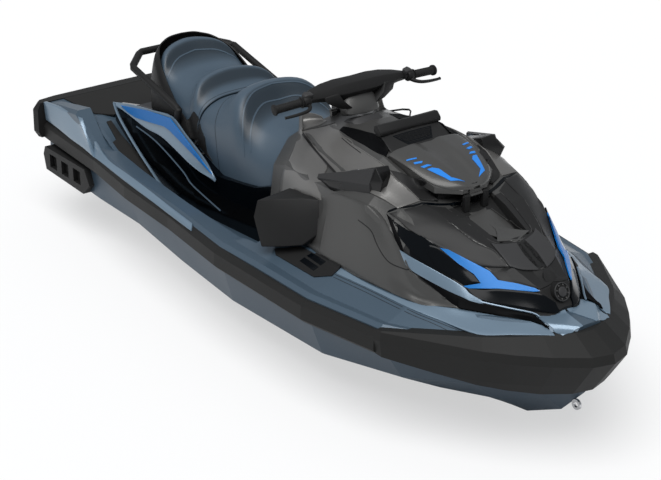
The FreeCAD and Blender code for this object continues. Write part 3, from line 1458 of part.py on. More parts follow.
def faults():
    """Everything in the document that failed to build, and every sub-part that isn't sound."""
    found = []
    for made in doc.Objects:
        if "Invalid" in made.State or "Error" in made.State:
            found.append("%s is not built" % made.Name)
    for made in nodes:
        shape = made.Shape
        if shape.isNull() or not shape.isValid() or not shape.Solids:
            found.append("%s has no sound solid" % made.Label)
    return found


build()
doc.recompute()
problems = faults()
if problems:
    raise RuntimeError("; ".join(problems))
os.makedirs("parts", exist_ok=True)
for made in nodes:
    made.Shape.exportStep("parts/%s.step" % made.Label)
    print(made.Label, len(made.Shape.Solids), round(made.Shape.Volume / 1000))
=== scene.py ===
import math

import bmesh
import bpy
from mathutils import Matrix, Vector
from mathutils.bvhtree import BVHTree


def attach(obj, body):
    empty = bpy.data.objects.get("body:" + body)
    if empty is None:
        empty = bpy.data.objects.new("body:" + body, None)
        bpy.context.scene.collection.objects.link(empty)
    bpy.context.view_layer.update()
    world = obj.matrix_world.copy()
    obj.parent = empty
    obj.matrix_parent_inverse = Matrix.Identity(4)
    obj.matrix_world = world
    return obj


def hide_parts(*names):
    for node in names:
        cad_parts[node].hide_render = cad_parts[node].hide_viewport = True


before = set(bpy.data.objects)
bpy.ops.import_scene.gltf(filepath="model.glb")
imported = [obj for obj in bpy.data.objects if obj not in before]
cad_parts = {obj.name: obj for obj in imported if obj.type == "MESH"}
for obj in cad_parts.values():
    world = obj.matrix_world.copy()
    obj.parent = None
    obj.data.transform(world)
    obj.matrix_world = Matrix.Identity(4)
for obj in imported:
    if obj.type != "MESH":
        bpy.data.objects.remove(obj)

print("frame loaded:", len(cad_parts), "nodes")
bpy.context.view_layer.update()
scene = bpy.context.scene
scene.view_settings.view_transform = "Standard"

# Spots in the tables are in millimetres: x forward, y out to starboard, z up from the keel's
# baseline. place() brings them into the frame. Widths, radii and thicknesses are in metres.
perMetre = 1000
draft = 0.28
mergeWithin = 0.00002


def place(x, y, z):
    return Vector((x / perMetre, -y / perMetre, z / perMetre - draft))


# Camera, floor and light
viewPoint = {"azimuth": 52.814, "elevation": 24.332, "spot": (5.33014, -4.02681, 3.04172),
             "lens": 92.506, "sensor": 36, "near": 0.1, "far": 200}
studio = {
    "floorZ": -0.2805, "floorSize": 60.0, "floorSeen": (0.93, 0.93, 0.93, 1),
    "floorBounce": (0.30, 0.30, 0.30, 1), "floorGlow": 0.58, "paperColour": (1, 1, 1, 1),
    "skyColour": (0.92, 0.95, 1.0, 1), "skyStrength": 0.38, "sunStrength": 2.5,
    "sunAngle": 50, "sunFrom": (1.25, -1.75, 5.0), "sunTarget": (0, 0, 0.2),
}


def addObject(name, data):
    added = bpy.data.objects.new(name, data)
    scene.collection.objects.link(added)
    return added


def aim(added, spot, back):
    added.location = spot
    added.rotation_mode = "QUATERNION"
    added.rotation_quaternion = (-back).to_track_quat("-Z", "Y")


def makeCamera():
    data = bpy.data.cameras.new("photoCamera")
    scene.camera = addObject("photoCamera", data)
    azimuth = math.radians(viewPoint["azimuth"])
    elevation = math.radians(viewPoint["elevation"])
    back = Vector((math.sin(azimuth) * math.cos(elevation),
                   -math.cos(azimuth) * math.cos(elevation), math.sin(elevation)))
    aim(scene.camera, viewPoint["spot"], back)
    data.lens = viewPoint["lens"]
    data.sensor_width = viewPoint["sensor"]
    data.clip_start, data.clip_end = viewPoint["near"], viewPoint["far"]


def newMaterial(name):
    material = bpy.data.materials.new(name)
    material.use_nodes = True
    material.node_tree.nodes.clear()
    return material, material.node_tree


def connect(tree, item, socket):
    # a constant is set on the socket itself, an output is linked to it
    if isinstance(item, bpy.types.NodeSocket):
        tree.links.new(item, socket)
    else:
        socket.default_value = item


def addNode(tree, kind, **inputs):
    node = tree.nodes.new("ShaderNode" + kind)
    for label, item in inputs.items():
        connect(tree, item, node.inputs[label.replace("_", " ")])
    return node


def mathNode(tree, operation, *items):
    node = addNode(tree, "Math")
    node.operation = operation
    for socket, item in zip(node.inputs, items):
        connect(tree, item, socket)
    return node.outputs[0]


def mixShaders(tree, share, first, second):
    node = addNode(tree, "MixShader")
    for socket, item in zip(node.inputs, (share, first.outputs[0], second.outputs[0])):
        connect(tree, item, socket)
    return node


def mixColour(tree, mask, first, second):
    node = addNode(tree, "Mix")
    node.data_type = "RGBA"
    for slot, item in ((0, mask), (6, first), (7, second)):
        connect(tree, item, node.inputs[slot])
    return node.outputs[2]


def makeFloor():
    mesh = bpy.data.meshes.new("floor")
    bm = bmesh.new()
    bmesh.ops.create_grid(bm, x_segments=1, y_segments=1, size=studio["floorSize"] / 2)
    bmesh.ops.translate(bm, verts=bm.verts, vec=(0, 0, studio["floorZ"]))
    bm.to_mesh(mesh)
    bm.free()
    material, tree = newMaterial("floorPaper")
    rays = addNode(tree, "LightPath").outputs
    seen = mathNode(tree, "MAXIMUM", rays["Is Camera Ray"], rays["Is Glossy Ray"])
    bounce = addNode(tree, "BsdfDiffuse", Color=studio["floorBounce"])
    paper = addNode(tree, "BsdfDiffuse", Color=studio["floorSeen"])
    # the photo's paper is almost white up to the hull, so the camera sees a lighter shadow
    glow = addNode(tree, "Emission", Color=studio["paperColour"])
    share = mathNode(tree, "MULTIPLY", rays["Is Camera Ray"], studio["floorGlow"])
    lit = mixShaders(tree, share, mixShaders(tree, seen, bounce, paper), glow)
    addNode(tree, "OutputMaterial", Surface=lit.outputs[0])
    mesh.materials.append(material)
    addObject("floor", mesh)


def makeSky():
    world = bpy.data.worlds.new("studio")
    world.use_nodes = True
    scene.world = world
    tree = world.node_tree
    tree.nodes.clear()
    sky = addNode(tree, "Background", Color=studio["skyColour"], Strength=studio["skyStrength"])
    paper = addNode(tree, "Background", Color=studio["paperColour"])
    seen = addNode(tree, "LightPath").outputs["Is Camera Ray"]
    addNode(tree, "OutputWorld", Surface=mixShaders(tree, seen, sky, paper).outputs[0])


def makeSun():
    data = bpy.data.lights.new("topSoftbox", "SUN")
    data.energy = studio["sunStrength"]
    data.angle = math.radians(studio["sunAngle"])
    spot = Vector(studio["sunFrom"])
    aim(addObject("topSoftbox", data), spot, spot - Vector(studio["sunTarget"]))


makeCamera()
makeFloor()
makeSky()
makeSun()
print("camera, floor and light set")


# Shared effects of the finishes
effects = {"toneSteps": 1000, "shareSteps": 100, "depthSteps": 1e6, "cloud": 5.0,
           "cloudDetail": 3, "flake": 700.0, "flakeDetail": 1, "flakeShare": 0.5,
           "grain": 900.0, "softness": 0.5, "wide": 0.35, "softDetail": 2, "coatRough": 0.12}


def newGroup(name, inputs, outputs):
    group = bpy.data.node_groups.new(name, "ShaderNodeTree")
    for label, kind, default in inputs:
        socket = group.interface.new_socket(label, in_out="INPUT",
                                            socket_type="NodeSocket" + kind)
        socket.default_value = default
    for label, kind in outputs:
        group.interface.new_socket(label, in_out="OUTPUT", socket_type="NodeSocket" + kind)
    given, result = group.nodes.new("NodeGroupInput"), group.nodes.new("NodeGroupOutput")
    return group, given.outputs, result.inputs


def noise(tree, vector, scale, detail):
    return addNode(tree, "TexNoise", Vector=vector, Scale=scale, Detail=detail).outputs["Fac"]


def makeDrift():
    # a tone that drifts over a panel in broad clouds, with fine flake in it
    grey = (0.5, 0.5, 0.5, 1)
    group, given, result = newGroup(
        "drift",
        [("Vector", "Vector", (0, 0, 0)), ("Tone", "Color", grey), ("Second Tone", "Color", grey),
         ("Cloud Scale", "Float", effects["cloud"]), ("Flake Scale", "Float", effects["flake"])],
        [("Color", "Color"), ("Cloud", "Float")],
    )
    cloud = noise(group, given["Vector"], given["Cloud Scale"], effects["cloudDetail"])
    flake = noise(group, given["Vector"], given["Flake Scale"], effects["flakeDetail"])
    share = mathNode(group, "MULTIPLY", cloud, 1 - effects["flakeShare"])
    blend = mathNode(group, "MULTIPLY_ADD", flake, effects["flakeShare"], share)
    tones = mixColour(group, blend, given["Tone"], given["Second Tone"])
    group.links.new(tones, result["Color"])
    group.links.new(cloud, result["Cloud"])
    return group


def makeGrain():
    # pebbled moulding grain: cells worn into by noise
    group, given, result = newGroup(
        "grain",
        [("Vector", "Vector", (0, 0, 0)), ("Scale", "Float", effects["grain"]),
         ("Softness", "Float", effects["softness"])],
        [("Height", "Float")],
    )
    cells = addNode(group, "TexVoronoi", Vector=given["Vector"], Scale=given["Scale"])
    cells.feature = "SMOOTH_F1"
    wide = mathNode(group, "MULTIPLY", given["Scale"], effects["wide"])
    soft = noise(group, given["Vector"], wide, effects["softDetail"])
    softened = mathNode(group, "MULTIPLY", soft, given["Softness"])
    height = mathNode(group, "ADD", cells.outputs["Distance"], softened)
    group.links.new(height, result["Height"])
    return group


def useGroup(tree, group, **inputs):
    node = addNode(tree, "Group")
    node.node_tree = group
    for label, item in inputs.items():
        connect(tree, item, node.inputs[label.replace("_", " ")])
    return node.outputs


drift = makeDrift()
grain = makeGrain()

# Each finish: slot, two tones in thousandths, then in hundredths roughness low and high,
# metallic, reflection level and coat, then the grain's scale and its depth in micrometres
finishes = {
    "hullPaint": ("hull_paint", (52, 83, 117), (68, 104, 143), 34, 42, 20, 24, 5, 1400, 40),
    "deckPaint": ("deck_paint", (60, 95, 131), (77, 117, 159), 32, 40, 30, 38, 25, 1400, 40),
    "greyPaint": ("grey_paint", (70, 70, 68), (95, 94, 91), 34, 42, 45, 35, 12, 1500, 40),
    # a lighter copy of the grey paint: painted light on the knee, console and cap panels
    "greyPaintLit": ("grey_paint", (142, 139, 134), (188, 184, 176), 32, 40, 45, 38, 20, 1500, 40),
    "greyDark": ("grey_plastic", (14, 14, 14), (21, 21, 21), 38, 46, 0, 20, 0, 1200, 60),
    "greyPlastic": ("grey_plastic", (34, 34, 35), (46, 46, 47), 42, 52, 0, 24, 0, 1000, 100),
    "blackPlastic": ("black_plastic", (11, 11, 11), (17, 17, 17), 45, 58, 0, 20, 0, 800, 160),
    "blackGloss": ("black_gloss", (1.2, 2, 3), (2, 3.2, 4.8), 10, 18, 0, 16, 0, 60, 30),
    # black for dark gaps, and for the painted shade in the console recess
    "gapAndShadeBlack": ("black_gloss", (1.4, 1.6, 2), (2.4, 2.6, 3.1), 50, 60, 0, 6, 0, 600, 100),
    "railRubber": ("rail_rubber", (14, 14, 14), (21, 21, 20), 48, 60, 0, 18, 0, 700, 180),
    "gripRubber": ("grip_rubber", (10, 10, 10), (16, 16, 16), 60, 75, 0, 25, 0, 500, 300),
    "matFoam": ("mat", (18, 18, 18), (28, 28, 27), 80, 95, 0, 15, 0, 350, 450),
    "blueTrim": ("blue_trim", (3, 150, 480), (4, 185, 570), 34, 42, 10, 30, 10, 1500, 30),
    "greyDeep": ("grey_plastic", (13, 13, 13), (19, 19, 19), 36, 44, 0, 22, 0, 1400, 50),
    # a lighter copy of the deck paint: painted highlight on the deck's top band
    "deckPaintHighlight": ("deck_paint", (150, 215, 280), (185, 260, 335), 30, 38, 30, 45, 35, 1400, 40),
    "blackSatin": ("black_plastic", (6, 6, 6), (9, 9, 9), 24, 32, 0, 34, 0, 1200, 50),
    "stripeBlue": ("blue_trim", (20, 220, 720), (26, 250, 800), 34, 42, 0, 30, 10, 1500, 30),
    # real pale blue on the swoosh, and painted highlight on the gunwale, rear quarter panel, bow
    # facet and footwell wall edges
    "paleBlueAndHighlight": ("deck_paint", (150, 220, 290), (190, 270, 350), 28, 36, 30, 50, 40, 1500, 30),
    "pumpMetal": ("pump_metal", (360, 360, 360), (480, 480, 470), 38, 55, 100, 50, 0, 500, 250),
    "steel": ("steel", (520, 520, 530), (640, 640, 650), 16, 28, 100, 50, 0, 400, 40),
    "castEngine": ("engine", (200, 200, 210), (300, 300, 310), 45, 60, 90, 50, 0, 300, 500),
    "mirrorGlass": ("mirror", (750, 770, 780), (800, 810, 820), 2, 5, 100, 50, 0, 3, 10),
    "screenGlass": ("screen", (4, 5, 7), (8, 10, 13), 5, 10, 0, 50, 50, 3, 10),
}
materials = {}
slotOf = {}


def makeFinish(name, spec, cloudScale=effects["cloud"], paintedShadeTone=None):
    slotOf[name], *tones, smooth, rough, metallic, level, coat, scale, depth = spec
    low, high = ([part / effects["toneSteps"] for part in tone] + [1] for tone in tones)
    smooth, rough, metallic, level, coat = (
        part / effects["shareSteps"] for part in (smooth, rough, metallic, level, coat))
    materials[name], tree = newMaterial(name)
    where = addNode(tree, "TexCoord").outputs["Object"]
    colour = useGroup(tree, drift, Vector=where, Tone=low, Second_Tone=high,
                      Cloud_Scale=cloudScale)
    base = colour["Color"]
    if paintedShadeTone:
        # painted shade: where the mesh's mask marks a face turned forward, a darker tone is mixed
        # in
        paintedShadeMask = addNode(tree, "Attribute")
        paintedShadeMask.attribute_name = "paintedShadeMask"
        base = mixColour(tree, paintedShadeMask.outputs["Fac"], base, paintedShadeTone)
    span = addNode(tree, "MapRange", Value=colour["Cloud"], To_Min=smooth, To_Max=rough)
    pebble = useGroup(tree, grain, Vector=where, Scale=float(scale))
    bump = addNode(tree, "Bump", Height=pebble["Height"], Distance=depth / effects["depthSteps"])
    shader = addNode(tree, "BsdfPrincipled", Base_Color=base, Roughness=span.outputs["Result"],
                     Normal=bump.outputs["Normal"], Metallic=metallic, Coat_Weight=coat,
                     Specular_IOR_Level=level, Coat_Roughness=effects["coatRough"])
    addNode(tree, "OutputMaterial", Surface=shader.outputs["BSDF"])


for finishName, finishSpec in finishes.items():
    makeFinish(finishName, finishSpec)
print("finishes made:", len(materials))

# The finish of each CAD node
nodeFinishes = {
    "hullPaint": "hull intake_shoe driver_seat passenger_seat",
    "deckPaint": "deck",
    "blackPlastic": "bin_frames glovebox_bin front_frame storage_bin visor bow_cap grab_handle "
                    "handlebar levers reverse_bucket cargo_fittings ride_plate sponsons",
    "castEngine": "engine_block",
    "blackGloss": "pedestal lens_panels",
    "greyPaint": "side_panels console hood_lid",
    "greyDark": "fascia",
    "screenGlass": "display",
    "greyPlastic": "mirrors footwell_pods steering_neck glove_lid",
    "mirrorGlass": "mirror_glasses",
    "blueTrim": "accents side_trims",
    "railRubber": "rub_rails bow_bumper stern_bumper",
    "gripRubber": "grips",
    "pumpMetal": "pump nozzle intake_grate",
    "steel": "impeller drive_shaft bow_eye stern_eyes",
    "matFoam": "platform_mat footwell_mats",
}
for finishName, nodeNames in nodeFinishes.items():
    for nodeName in nodeNames.split():
        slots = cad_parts[nodeName].data.materials
        slots.clear()
        slots.append(materials[finishName])


# Helpers for the shaped pieces: rows of spots are smoothed into surfaces
def alongRow(points, steps):
    # a smooth line through a row of points
    last = len(points) - 1
    line = []
    for index in range(last):
        before = points[max(index - 1, 0)]
        start, end = points[index], points[index + 1]
        after = points[min(index + 2, last)]
        for step in range(steps):
            share = step / steps
            square, cube = share * share, share ** 3
            line.append(0.5 * (
                2 * start + (end - before) * share
                + (2 * before - 5 * start + 4 * end - after) * square
                + (3 * start - before - 3 * end + after) * cube
            ))
    line.append(points[-1].copy())
    return line


def gridOf(rows, steps):
    smooth = [alongRow([place(*spot) for spot in row], steps[1]) for row in rows]
    columns = [alongRow(list(column), steps[0]) for column in zip(*smooth)]
    return [list(row) for row in zip(*columns)]


def meshGrid(bm, grid, ends=False):
    made = [[bm.verts.new(spot) for spot in row] for row in grid]
    for first, second in zip(made, made[1:]):
        for corners in zip(first, first[1:], second[1:], second):
            bm.faces.new(corners)
    if ends:
        for row in (made[0], made[-1]):
            bm.faces.new(row)
        bm.faces.new([row[0] for row in made] + [row[-1] for row in reversed(made)])


def skinRings(bm, rings):
    # closes rings of vertices into a solid, with a cap at both ends
    count = len(rings[0])
    for first, second in zip(rings, rings[1:]):
        for slot in range(count):
            turn = (slot + 1) % count
            bm.faces.new((first[slot], first[turn], second[turn], second[slot]))
    for ring in (rings[0], rings[-1]):
        bm.faces.new(ring)


def modify(piece, kind, **settings):
    modifier = piece.modifiers.new(kind.lower(), kind)
    for label, setting in settings.items():
        setattr(modifier, label, setting)


def settle(name, bm, finish, bevel=None, thick=None, mirror=False, outward=None, sharp=38,
           body="craft", replaced=()):
    # turns a bmesh into a piece: thickness, rounded edges and the port side are baked in
    bmesh.ops.remove_doubles(bm, verts=bm.verts, dist=mergeWithin)
    bmesh.ops.recalc_face_normals(bm, faces=bm.faces)
    if outward is not None:
        total = sum((face.normal * face.calc_area() for face in bm.faces), Vector())
        if total.dot(Vector(outward)) < 0:
            bmesh.ops.reverse_faces(bm, faces=bm.faces)
    mesh = bpy.data.meshes.new(name)
    bm.to_mesh(mesh)
    bm.free()
    live = addObject(name + "Draft", mesh)
    if thick:
        modify(live, "SOLIDIFY", thickness=thick, offset=-1)
    if bevel:
        modify(live, "BEVEL", width=bevel, segments=2, limit_method="ANGLE",
               angle_limit=math.radians(sharp))
    if mirror:
        modify(live, "MIRROR", use_axis=(False, True, False), use_mirror_merge=False)
    graph = bpy.context.evaluated_depsgraph_get()
    baked = bpy.data.meshes.new_from_object(live.evaluated_get(graph))
    baked.name = name
    bpy.data.objects.remove(live)
    bpy.data.meshes.remove(mesh)
    piece = addObject(name, baked)
    baked.materials.clear()
    baked.materials.append(materials[finish])
    baked.polygons.foreach_set("use_smooth", [True] * len(baked.polygons))
    baked.set_sharp_from_angle(angle=math.radians(sharp))
    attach(piece, body)
    if replaced:
        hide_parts(*replaced)
    return piece


def panel(name, finish, outward, rows, steps=(4, 3), thick=0.008, bevel=0.0015, mirror=True,
          **how):
    # a shell over smoothed rows of spots, with steps from row to row and along a row
    bm = bmesh.new()
    meshGrid(bm, gridOf(rows, steps))
    settle(name, bm, finish, bevel, thick, mirror, outward, **how)


def treeOf(*names):
    # one tree over several CAD nodes or pieces, to lay seams and trims on them
    graph = bpy.context.evaluated_depsgraph_get()
    bm = bmesh.new()
    for name in names:
        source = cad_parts.get(name) or bpy.data.objects[name]
        part = bmesh.new()
        part.from_object(source, graph)
        part.transform(source.matrix_world)
        mesh = bpy.data.meshes.new("gather")
        part.to_mesh(mesh)
        part.free()
        bm.from_mesh(mesh)
        bpy.data.meshes.remove(mesh)
    bmesh.ops.recalc_face_normals(bm, faces=bm.faces)
    tree = BVHTree.FromBMesh(bm)
    bm.free()
    return tree


laying = {"away": (0.25, 3, 0.8), "reach": 0.012, "sharp": 60, "seamSharp": 50, "seamTop": 0.7,
          "seamSteps": 6, "cuts": 5, "tiny": 1e-9, "upright": 0.95}


def outwardAt(spot):
    x, slope, z = laying["away"]
    return Vector((x, spot.y * slope, z)).normalized()


def nearestOutside(tree, spot):
    # the outer skin is looked for from a little outside, with its normal turned outward
    away = outwardAt(spot)
    if tree is None:
        return spot, away
    hit, normal, _, _ = tree.find_nearest(spot + away * laying["reach"])
    return hit, (normal if normal.dot(away) > 0 else -normal)


def lineOn(tree, points, steps, lift):
    # a smooth line whose spots are drawn on to the nearest surface
    laid = []
    for spot in alongRow([place(*point) for point in points], steps):
        hit, normal = nearestOutside(tree, spot)
        laid.append((hit + normal * lift, normal))
    return laid


def seam(name, finish, tree, lines, width, lift, steps=laying["seamSteps"], mirror=True):
    # flat-topped beads of a given width that follow a surface
    bm = bmesh.new()
    for points in lines:
        laid = lineOn(tree, points, steps, lift)
        rings = []
        for index, (spot, normal) in enumerate(laid):
            before = laid[max(index - 1, 0)][0]
            after = laid[min(index + 1, len(laid) - 1)][0]
            across = (after - before).cross(normal)
            if across.length < laying["tiny"]:
                continue
            across.normalize()
            half = across * (width / 2)
            top = half * laying["seamTop"]
            down = normal * (width * 0.5 + lift)
            rings.append([bm.verts.new(corner) for corner in (
                spot - half - down, spot - top, spot + top, spot + half - down)])
        skinRings(bm, rings)
    settle(name, bm, finish, mirror=mirror, sharp=laying["seamSharp"])


def patchOn(name, finish, tree, outline, lift, step=0.012, mirror=True, body="craft"):
    # a thin skin inside a closed outline, laid on a surface; the outline is seen from its side
    centre = sum((place(*point) for point in outline), Vector()) / len(outline)
    bm = bmesh.new()
    face = bm.faces.new([bm.verts.new(place(*point)) for point in outline])
    bmesh.ops.triangulate(bm, faces=[face])
    for _ in range(laying["cuts"]):
        long = [edge for edge in bm.edges if edge.calc_length() > step]
        if not long:
            break
        bmesh.ops.subdivide_edges(bm, edges=long, cuts=1, use_grid_fill=False)
        bmesh.ops.triangulate(bm, faces=bm.faces)
    for vert in bm.verts:
        hit, normal = nearestOutside(tree, vert.co)
        vert.co = hit + normal * lift
    settle(name, bm, finish, None, lift, mirror, outwardAt(centre), laying["sharp"], body)


def flatPatch(name, finish, outline, thick, replaced=()):
    # a thin skin straight across a closed outline
    bm = bmesh.new()
    face = bm.faces.new([bm.verts.new(place(*point)) for point in outline])
    centre = face.calc_center_median()
    bmesh.ops.triangulate(bm, faces=[face], ngon_method="EAR_CLIP")
    settle(name, bm, finish, None, thick, True, outwardAt(centre), laying["sharp"],
           replaced=replaced)


def tubeLine(bm, spots, radius, sides=10):
    # a round tube along given spots, closed at both ends
    rings = []
    guide = Vector((0, 0, 1))
    for index, spot in enumerate(spots):
        before = spots[max(index - 1, 0)]
        after = spots[min(index + 1, len(spots) - 1)]
        run = (after - before).normalized()
        if abs(run.dot(guide)) > laying["upright"]:
            guide = Vector((1, 0, 0))
        side = run.cross(guide).normalized()
        up = side.cross(run).normalized()
        thick = radius[index] if isinstance(radius, (list, tuple)) else radius
        angles = [2 * math.pi * turn / sides for turn in range(sides)]
        rings.append([bm.verts.new(spot + (side * math.cos(angle) + up * math.sin(angle)) * thick)
                      for angle in angles])
    skinRings(bm, rings)


def solidRows(name, finish, rows, bevel=0.004, sharp=35, **how):
    # a closed form through closed rings of spots, capped at both ends
    bm = bmesh.new()
    skinRings(bm, [[bm.verts.new(place(*spot)) for spot in row] for row in rows])
    settle(name, bm, finish, bevel, sharp=sharp, **how)


print("helpers ready")


# Seats: moulded saddles. Each row runs along a fold of the cushion: foot, waist, side,
# shoulder, middle
driverRows = [
    [(-606, 248, 545), (-606, 256, 660), (-606, 226, 752), (-606, 140, 800), (-606, 0, 808)],
    [(-560, 252, 530), (-562, 260, 660), (-565, 236, 756), (-570, 150, 812), (-575, 0, 820)],
    [(-455, 256, 515), (-460, 264, 670), (-470, 244, 765), (-490, 158, 840), (-505, 0, 858)],
    [(-345, 256, 512), (-360, 264, 680), (-385, 242, 792), (-425, 165, 883), (-450, 0, 904)],
    [(-290, 255, 512), (-305, 262, 680), (-335, 238, 806), (-388, 160, 893), (-418, 0, 912)],
    [(-250, 254, 514), (-268, 256, 680), (-302, 226, 800), (-356, 150, 880), (-390, 0, 897)],
    [(-205, 250, 518), (-228, 248, 672), (-264, 208, 772), (-312, 135, 828), (-345, 0, 838)],
    [(-155, 244, 526), (-178, 236, 664), (-212, 190, 748), (-250, 125, 788), (-275, 0, 792)],
    [(-115, 236, 538), (-130, 222, 656), (-155, 175, 738), (-180, 112, 776), (-195, 0, 778)],
    [(-82, 216, 560), (-90, 204, 662), (-104, 158, 740), (-116, 98, 782), (-122, 0, 786)],
    [(-56, 178, 600), (-58, 166, 690), (-62, 134, 762), (-66, 86, 806), (-68, 0, 812)],
    [(-41, 146, 645), (-41, 138, 708), (-41, 112, 776), (-41, 72, 812), (-41, 0, 818)],
]
passengerRows = [
    [(-616, 246, 555), (-616, 254, 660), (-616, 224, 755), (-616, 138, 803), (-616, 0, 811)],
    [(-628, 250, 560), (-634, 250, 680), (-646, 218, 778), (-668, 140, 826), (-678, 0, 838)],
    [(-650, 250, 566), (-658, 248, 700), (-676, 214, 808), (-708, 142, 862), (-724, 0, 880)],
    [(-672, 248, 570), (-682, 244, 700), (-702, 208, 812), (-736, 138, 866), (-752, 0, 883)],
    [(-700, 246, 574), (-712, 242, 700), (-734, 202, 792), (-770, 132, 842), (-786, 0, 856)],
    [(-770, 244, 580), (-780, 240, 700), (-800, 200, 786), (-830, 130, 830), (-845, 0, 838)],
    [(-850, 240, 584), (-860, 236, 700), (-878, 200, 792), (-905, 132, 834), (-922, 0, 842)],
    [(-912, 234, 590), (-920, 230, 720), (-938, 200, 818), (-972, 136, 868), (-995, 0, 882)],
    [(-948, 228, 596), (-956, 224, 740), (-974, 196, 850), (-1012, 136, 910), (-1040, 0, 930)],
    [(-980, 220, 602), (-988, 214, 750), (-1008, 186, 860), (-1044, 128, 920), (-1072, 0, 941)],
    [(-1020, 206, 608), (-1028, 200, 750), (-1048, 168, 850), (-1076, 112, 906), (-1098, 0, 926)],
    [(-1060, 186, 614), (-1066, 178, 740), (-1080, 146, 826), (-1098, 94, 872), (-1112, 0, 888)],
    [(-1086, 166, 622), (-1090, 158, 720), (-1098, 128, 780), (-1108, 82, 812), (-1114, 0, 822)],
]
# the facing range and the tone below set the painted shade on the forward faces of the crests
seatSettings = {
    "steps": (5, 6), "paintedShadeFacing": (0.34, 0.66), "sharp": 60, "fill": 0.6,
    "vinyl": ("seat_vinyl", (48, 77, 109), (68, 102, 137), 34, 44, 0, 48, 0, 620, 220),
    "cloudScale": 7.0, "paintedShadeTone": (0.017, 0.029, 0.041, 1),
}
makeFinish("seatVinyl", seatSettings["vinyl"], seatSettings["cloudScale"],
           seatSettings["paintedShadeTone"])


def fullRow(row):
    return row + [(x, -y, z) for x, y, z in reversed(row) if y > 0]


def makeSeat(name, rows, node):
    bm = bmesh.new()
    meshGrid(bm, gridOf([fullRow(row) for row in rows], seatSettings["steps"]), ends=True)
    seat = settle(name, bm, "seatVinyl", sharp=seatSettings["sharp"], replaced=[node])
    # painted shade: the faces of each crest that turn forward are darkened, by a mask from the
    # vertex normals
    start, end = seatSettings["paintedShadeFacing"]
    paintedShadeMask = seat.data.attributes.new("paintedShadeMask", "FLOAT", "POINT")
    for vert in seat.data.vertices:
        share = min(max((vert.normal.x - start) / (end - start), 0), 1)
        paintedShadeMask.data[vert.index].value = share * share * (3 - 2 * share)


makeSeat("driverSeatCushion", driverRows, "driver_seat")
makeSeat("passengerSeatCushion", passengerRows, "passenger_seat")
driverTree = treeOf("driverSeatCushion")
passengerTree = treeOf("passengerSeatCushion")
seam("driverSeatSeams", "blackPlastic", driverTree, [
    [(-560, 0, 830), (-545, 100, 830), (-515, 190, 810), (-478, 246, 750), (-452, 262, 670),
     (-440, 257, 530)],
    [(-52, 30, 820), (-56, 90, 800), (-62, 140, 755), (-75, 182, 690), (-95, 215, 610)],
], width=0.0042, lift=0.0004)
seam("passengerSeatSeams", "blackPlastic", passengerTree, [
    [(-630, 0, 820), (-629, 140, 810), (-628, 226, 760), (-628, 252, 660), (-628, 248, 570)],
], width=0.0030, lift=0.0004)

# Raised welts on the inner side of each crest
seam("driverSeatWelts", "seatVinyl", driverTree, [
    [(-345, 0, 840), (-340, 80, 840), (-310, 150, 810), (-262, 205, 760), (-222, 240, 690)],
    [(-395, 0, 900), (-372, 110, 890), (-330, 185, 850), (-282, 235, 770), (-250, 255, 660)],
], width=0.009, lift=0.0016)
seam("passengerSeatWelts", "seatVinyl", passengerTree, [
    [(-800, 0, 850), (-780, 110, 840), (-740, 185, 800), (-712, 232, 720)],
    [(-1000, 0, 900), (-980, 110, 880), (-945, 182, 820), (-915, 222, 740)],
], width=0.009, lift=0.0016)

# The hard shell behind and under the rear cushion
panel("seatBackShell", "blackPlastic", (-0.6, -1, 0.1), [
    [(-640, 262, 560), (-650, 272, 600), (-668, 268, 660), (-700, 254, 700), (-735, 246, 715)],
    [(-740, 264, 575), (-750, 270, 620), (-760, 266, 680), (-775, 254, 720), (-795, 240, 745)],
    [(-850, 256, 590), (-855, 260, 650), (-862, 254, 720), (-872, 240, 765), (-890, 222, 800)],
    [(-950, 246, 600), (-956, 248, 680), (-966, 238, 770), (-980, 220, 840), (-998, 196, 880)],
    [(-1035, 226, 612), (-1042, 224, 700), (-1055, 208, 800), (-1070, 182, 880),
     (-1080, 150, 922)],
    [(-1092, 186, 622), (-1100, 182, 720), (-1114, 164, 820), (-1122, 132, 895),
     (-1112, 104, 938)],
    [(-1118, 110, 628), (-1126, 108, 730), (-1140, 96, 830), (-1142, 74, 905), (-1124, 60, 948)],
    [(-1124, 0, 630), (-1132, 0, 730), (-1146, 0, 830), (-1148, 0, 908), (-1128, 0, 951)],
], thick=0.006)
print("seats made")

# Steering: padded bar, ribbed grips and levers, on the body that turns with the column
bars = "steering_bars"
barSettings = {"gripInner": (209, -283, 1050), "gripOuter": (194, -411, 1040),
               "gripRadius": 0.0158, "gripSides": 28, "ribs": 11, "ribDepth": 0.0016,
               "ribbed": (0.07, 0.83), "flange": 0.023, "tube": 0.0110, "tubeSides": 14,
               "tubeIn": 0.05, "tubeOut": 0.004}
leverSettings = {"along": (0.004, 0.010, 0.030, 0.036), "radii": (0.019, 0.023, 0.023, 0.018),
                 "clampSides": 20, "blade": 0.0085, "taper": 0.0030, "tip": 0.0070,
                 "bladeSides": 12, "bladeSteps": 5}
gripInner, gripOuter = place(*barSettings["gripInner"]), place(*barSettings["gripOuter"])
inward = (gripInner - gripOuter).normalized()


def mirroredRings(rings):
    side = [[(x, y, z) for x, z in ring] for y, ring in rings]
    return side[:0:-1] + [[(x, -y, z) for x, y, z in ring] for ring in side]


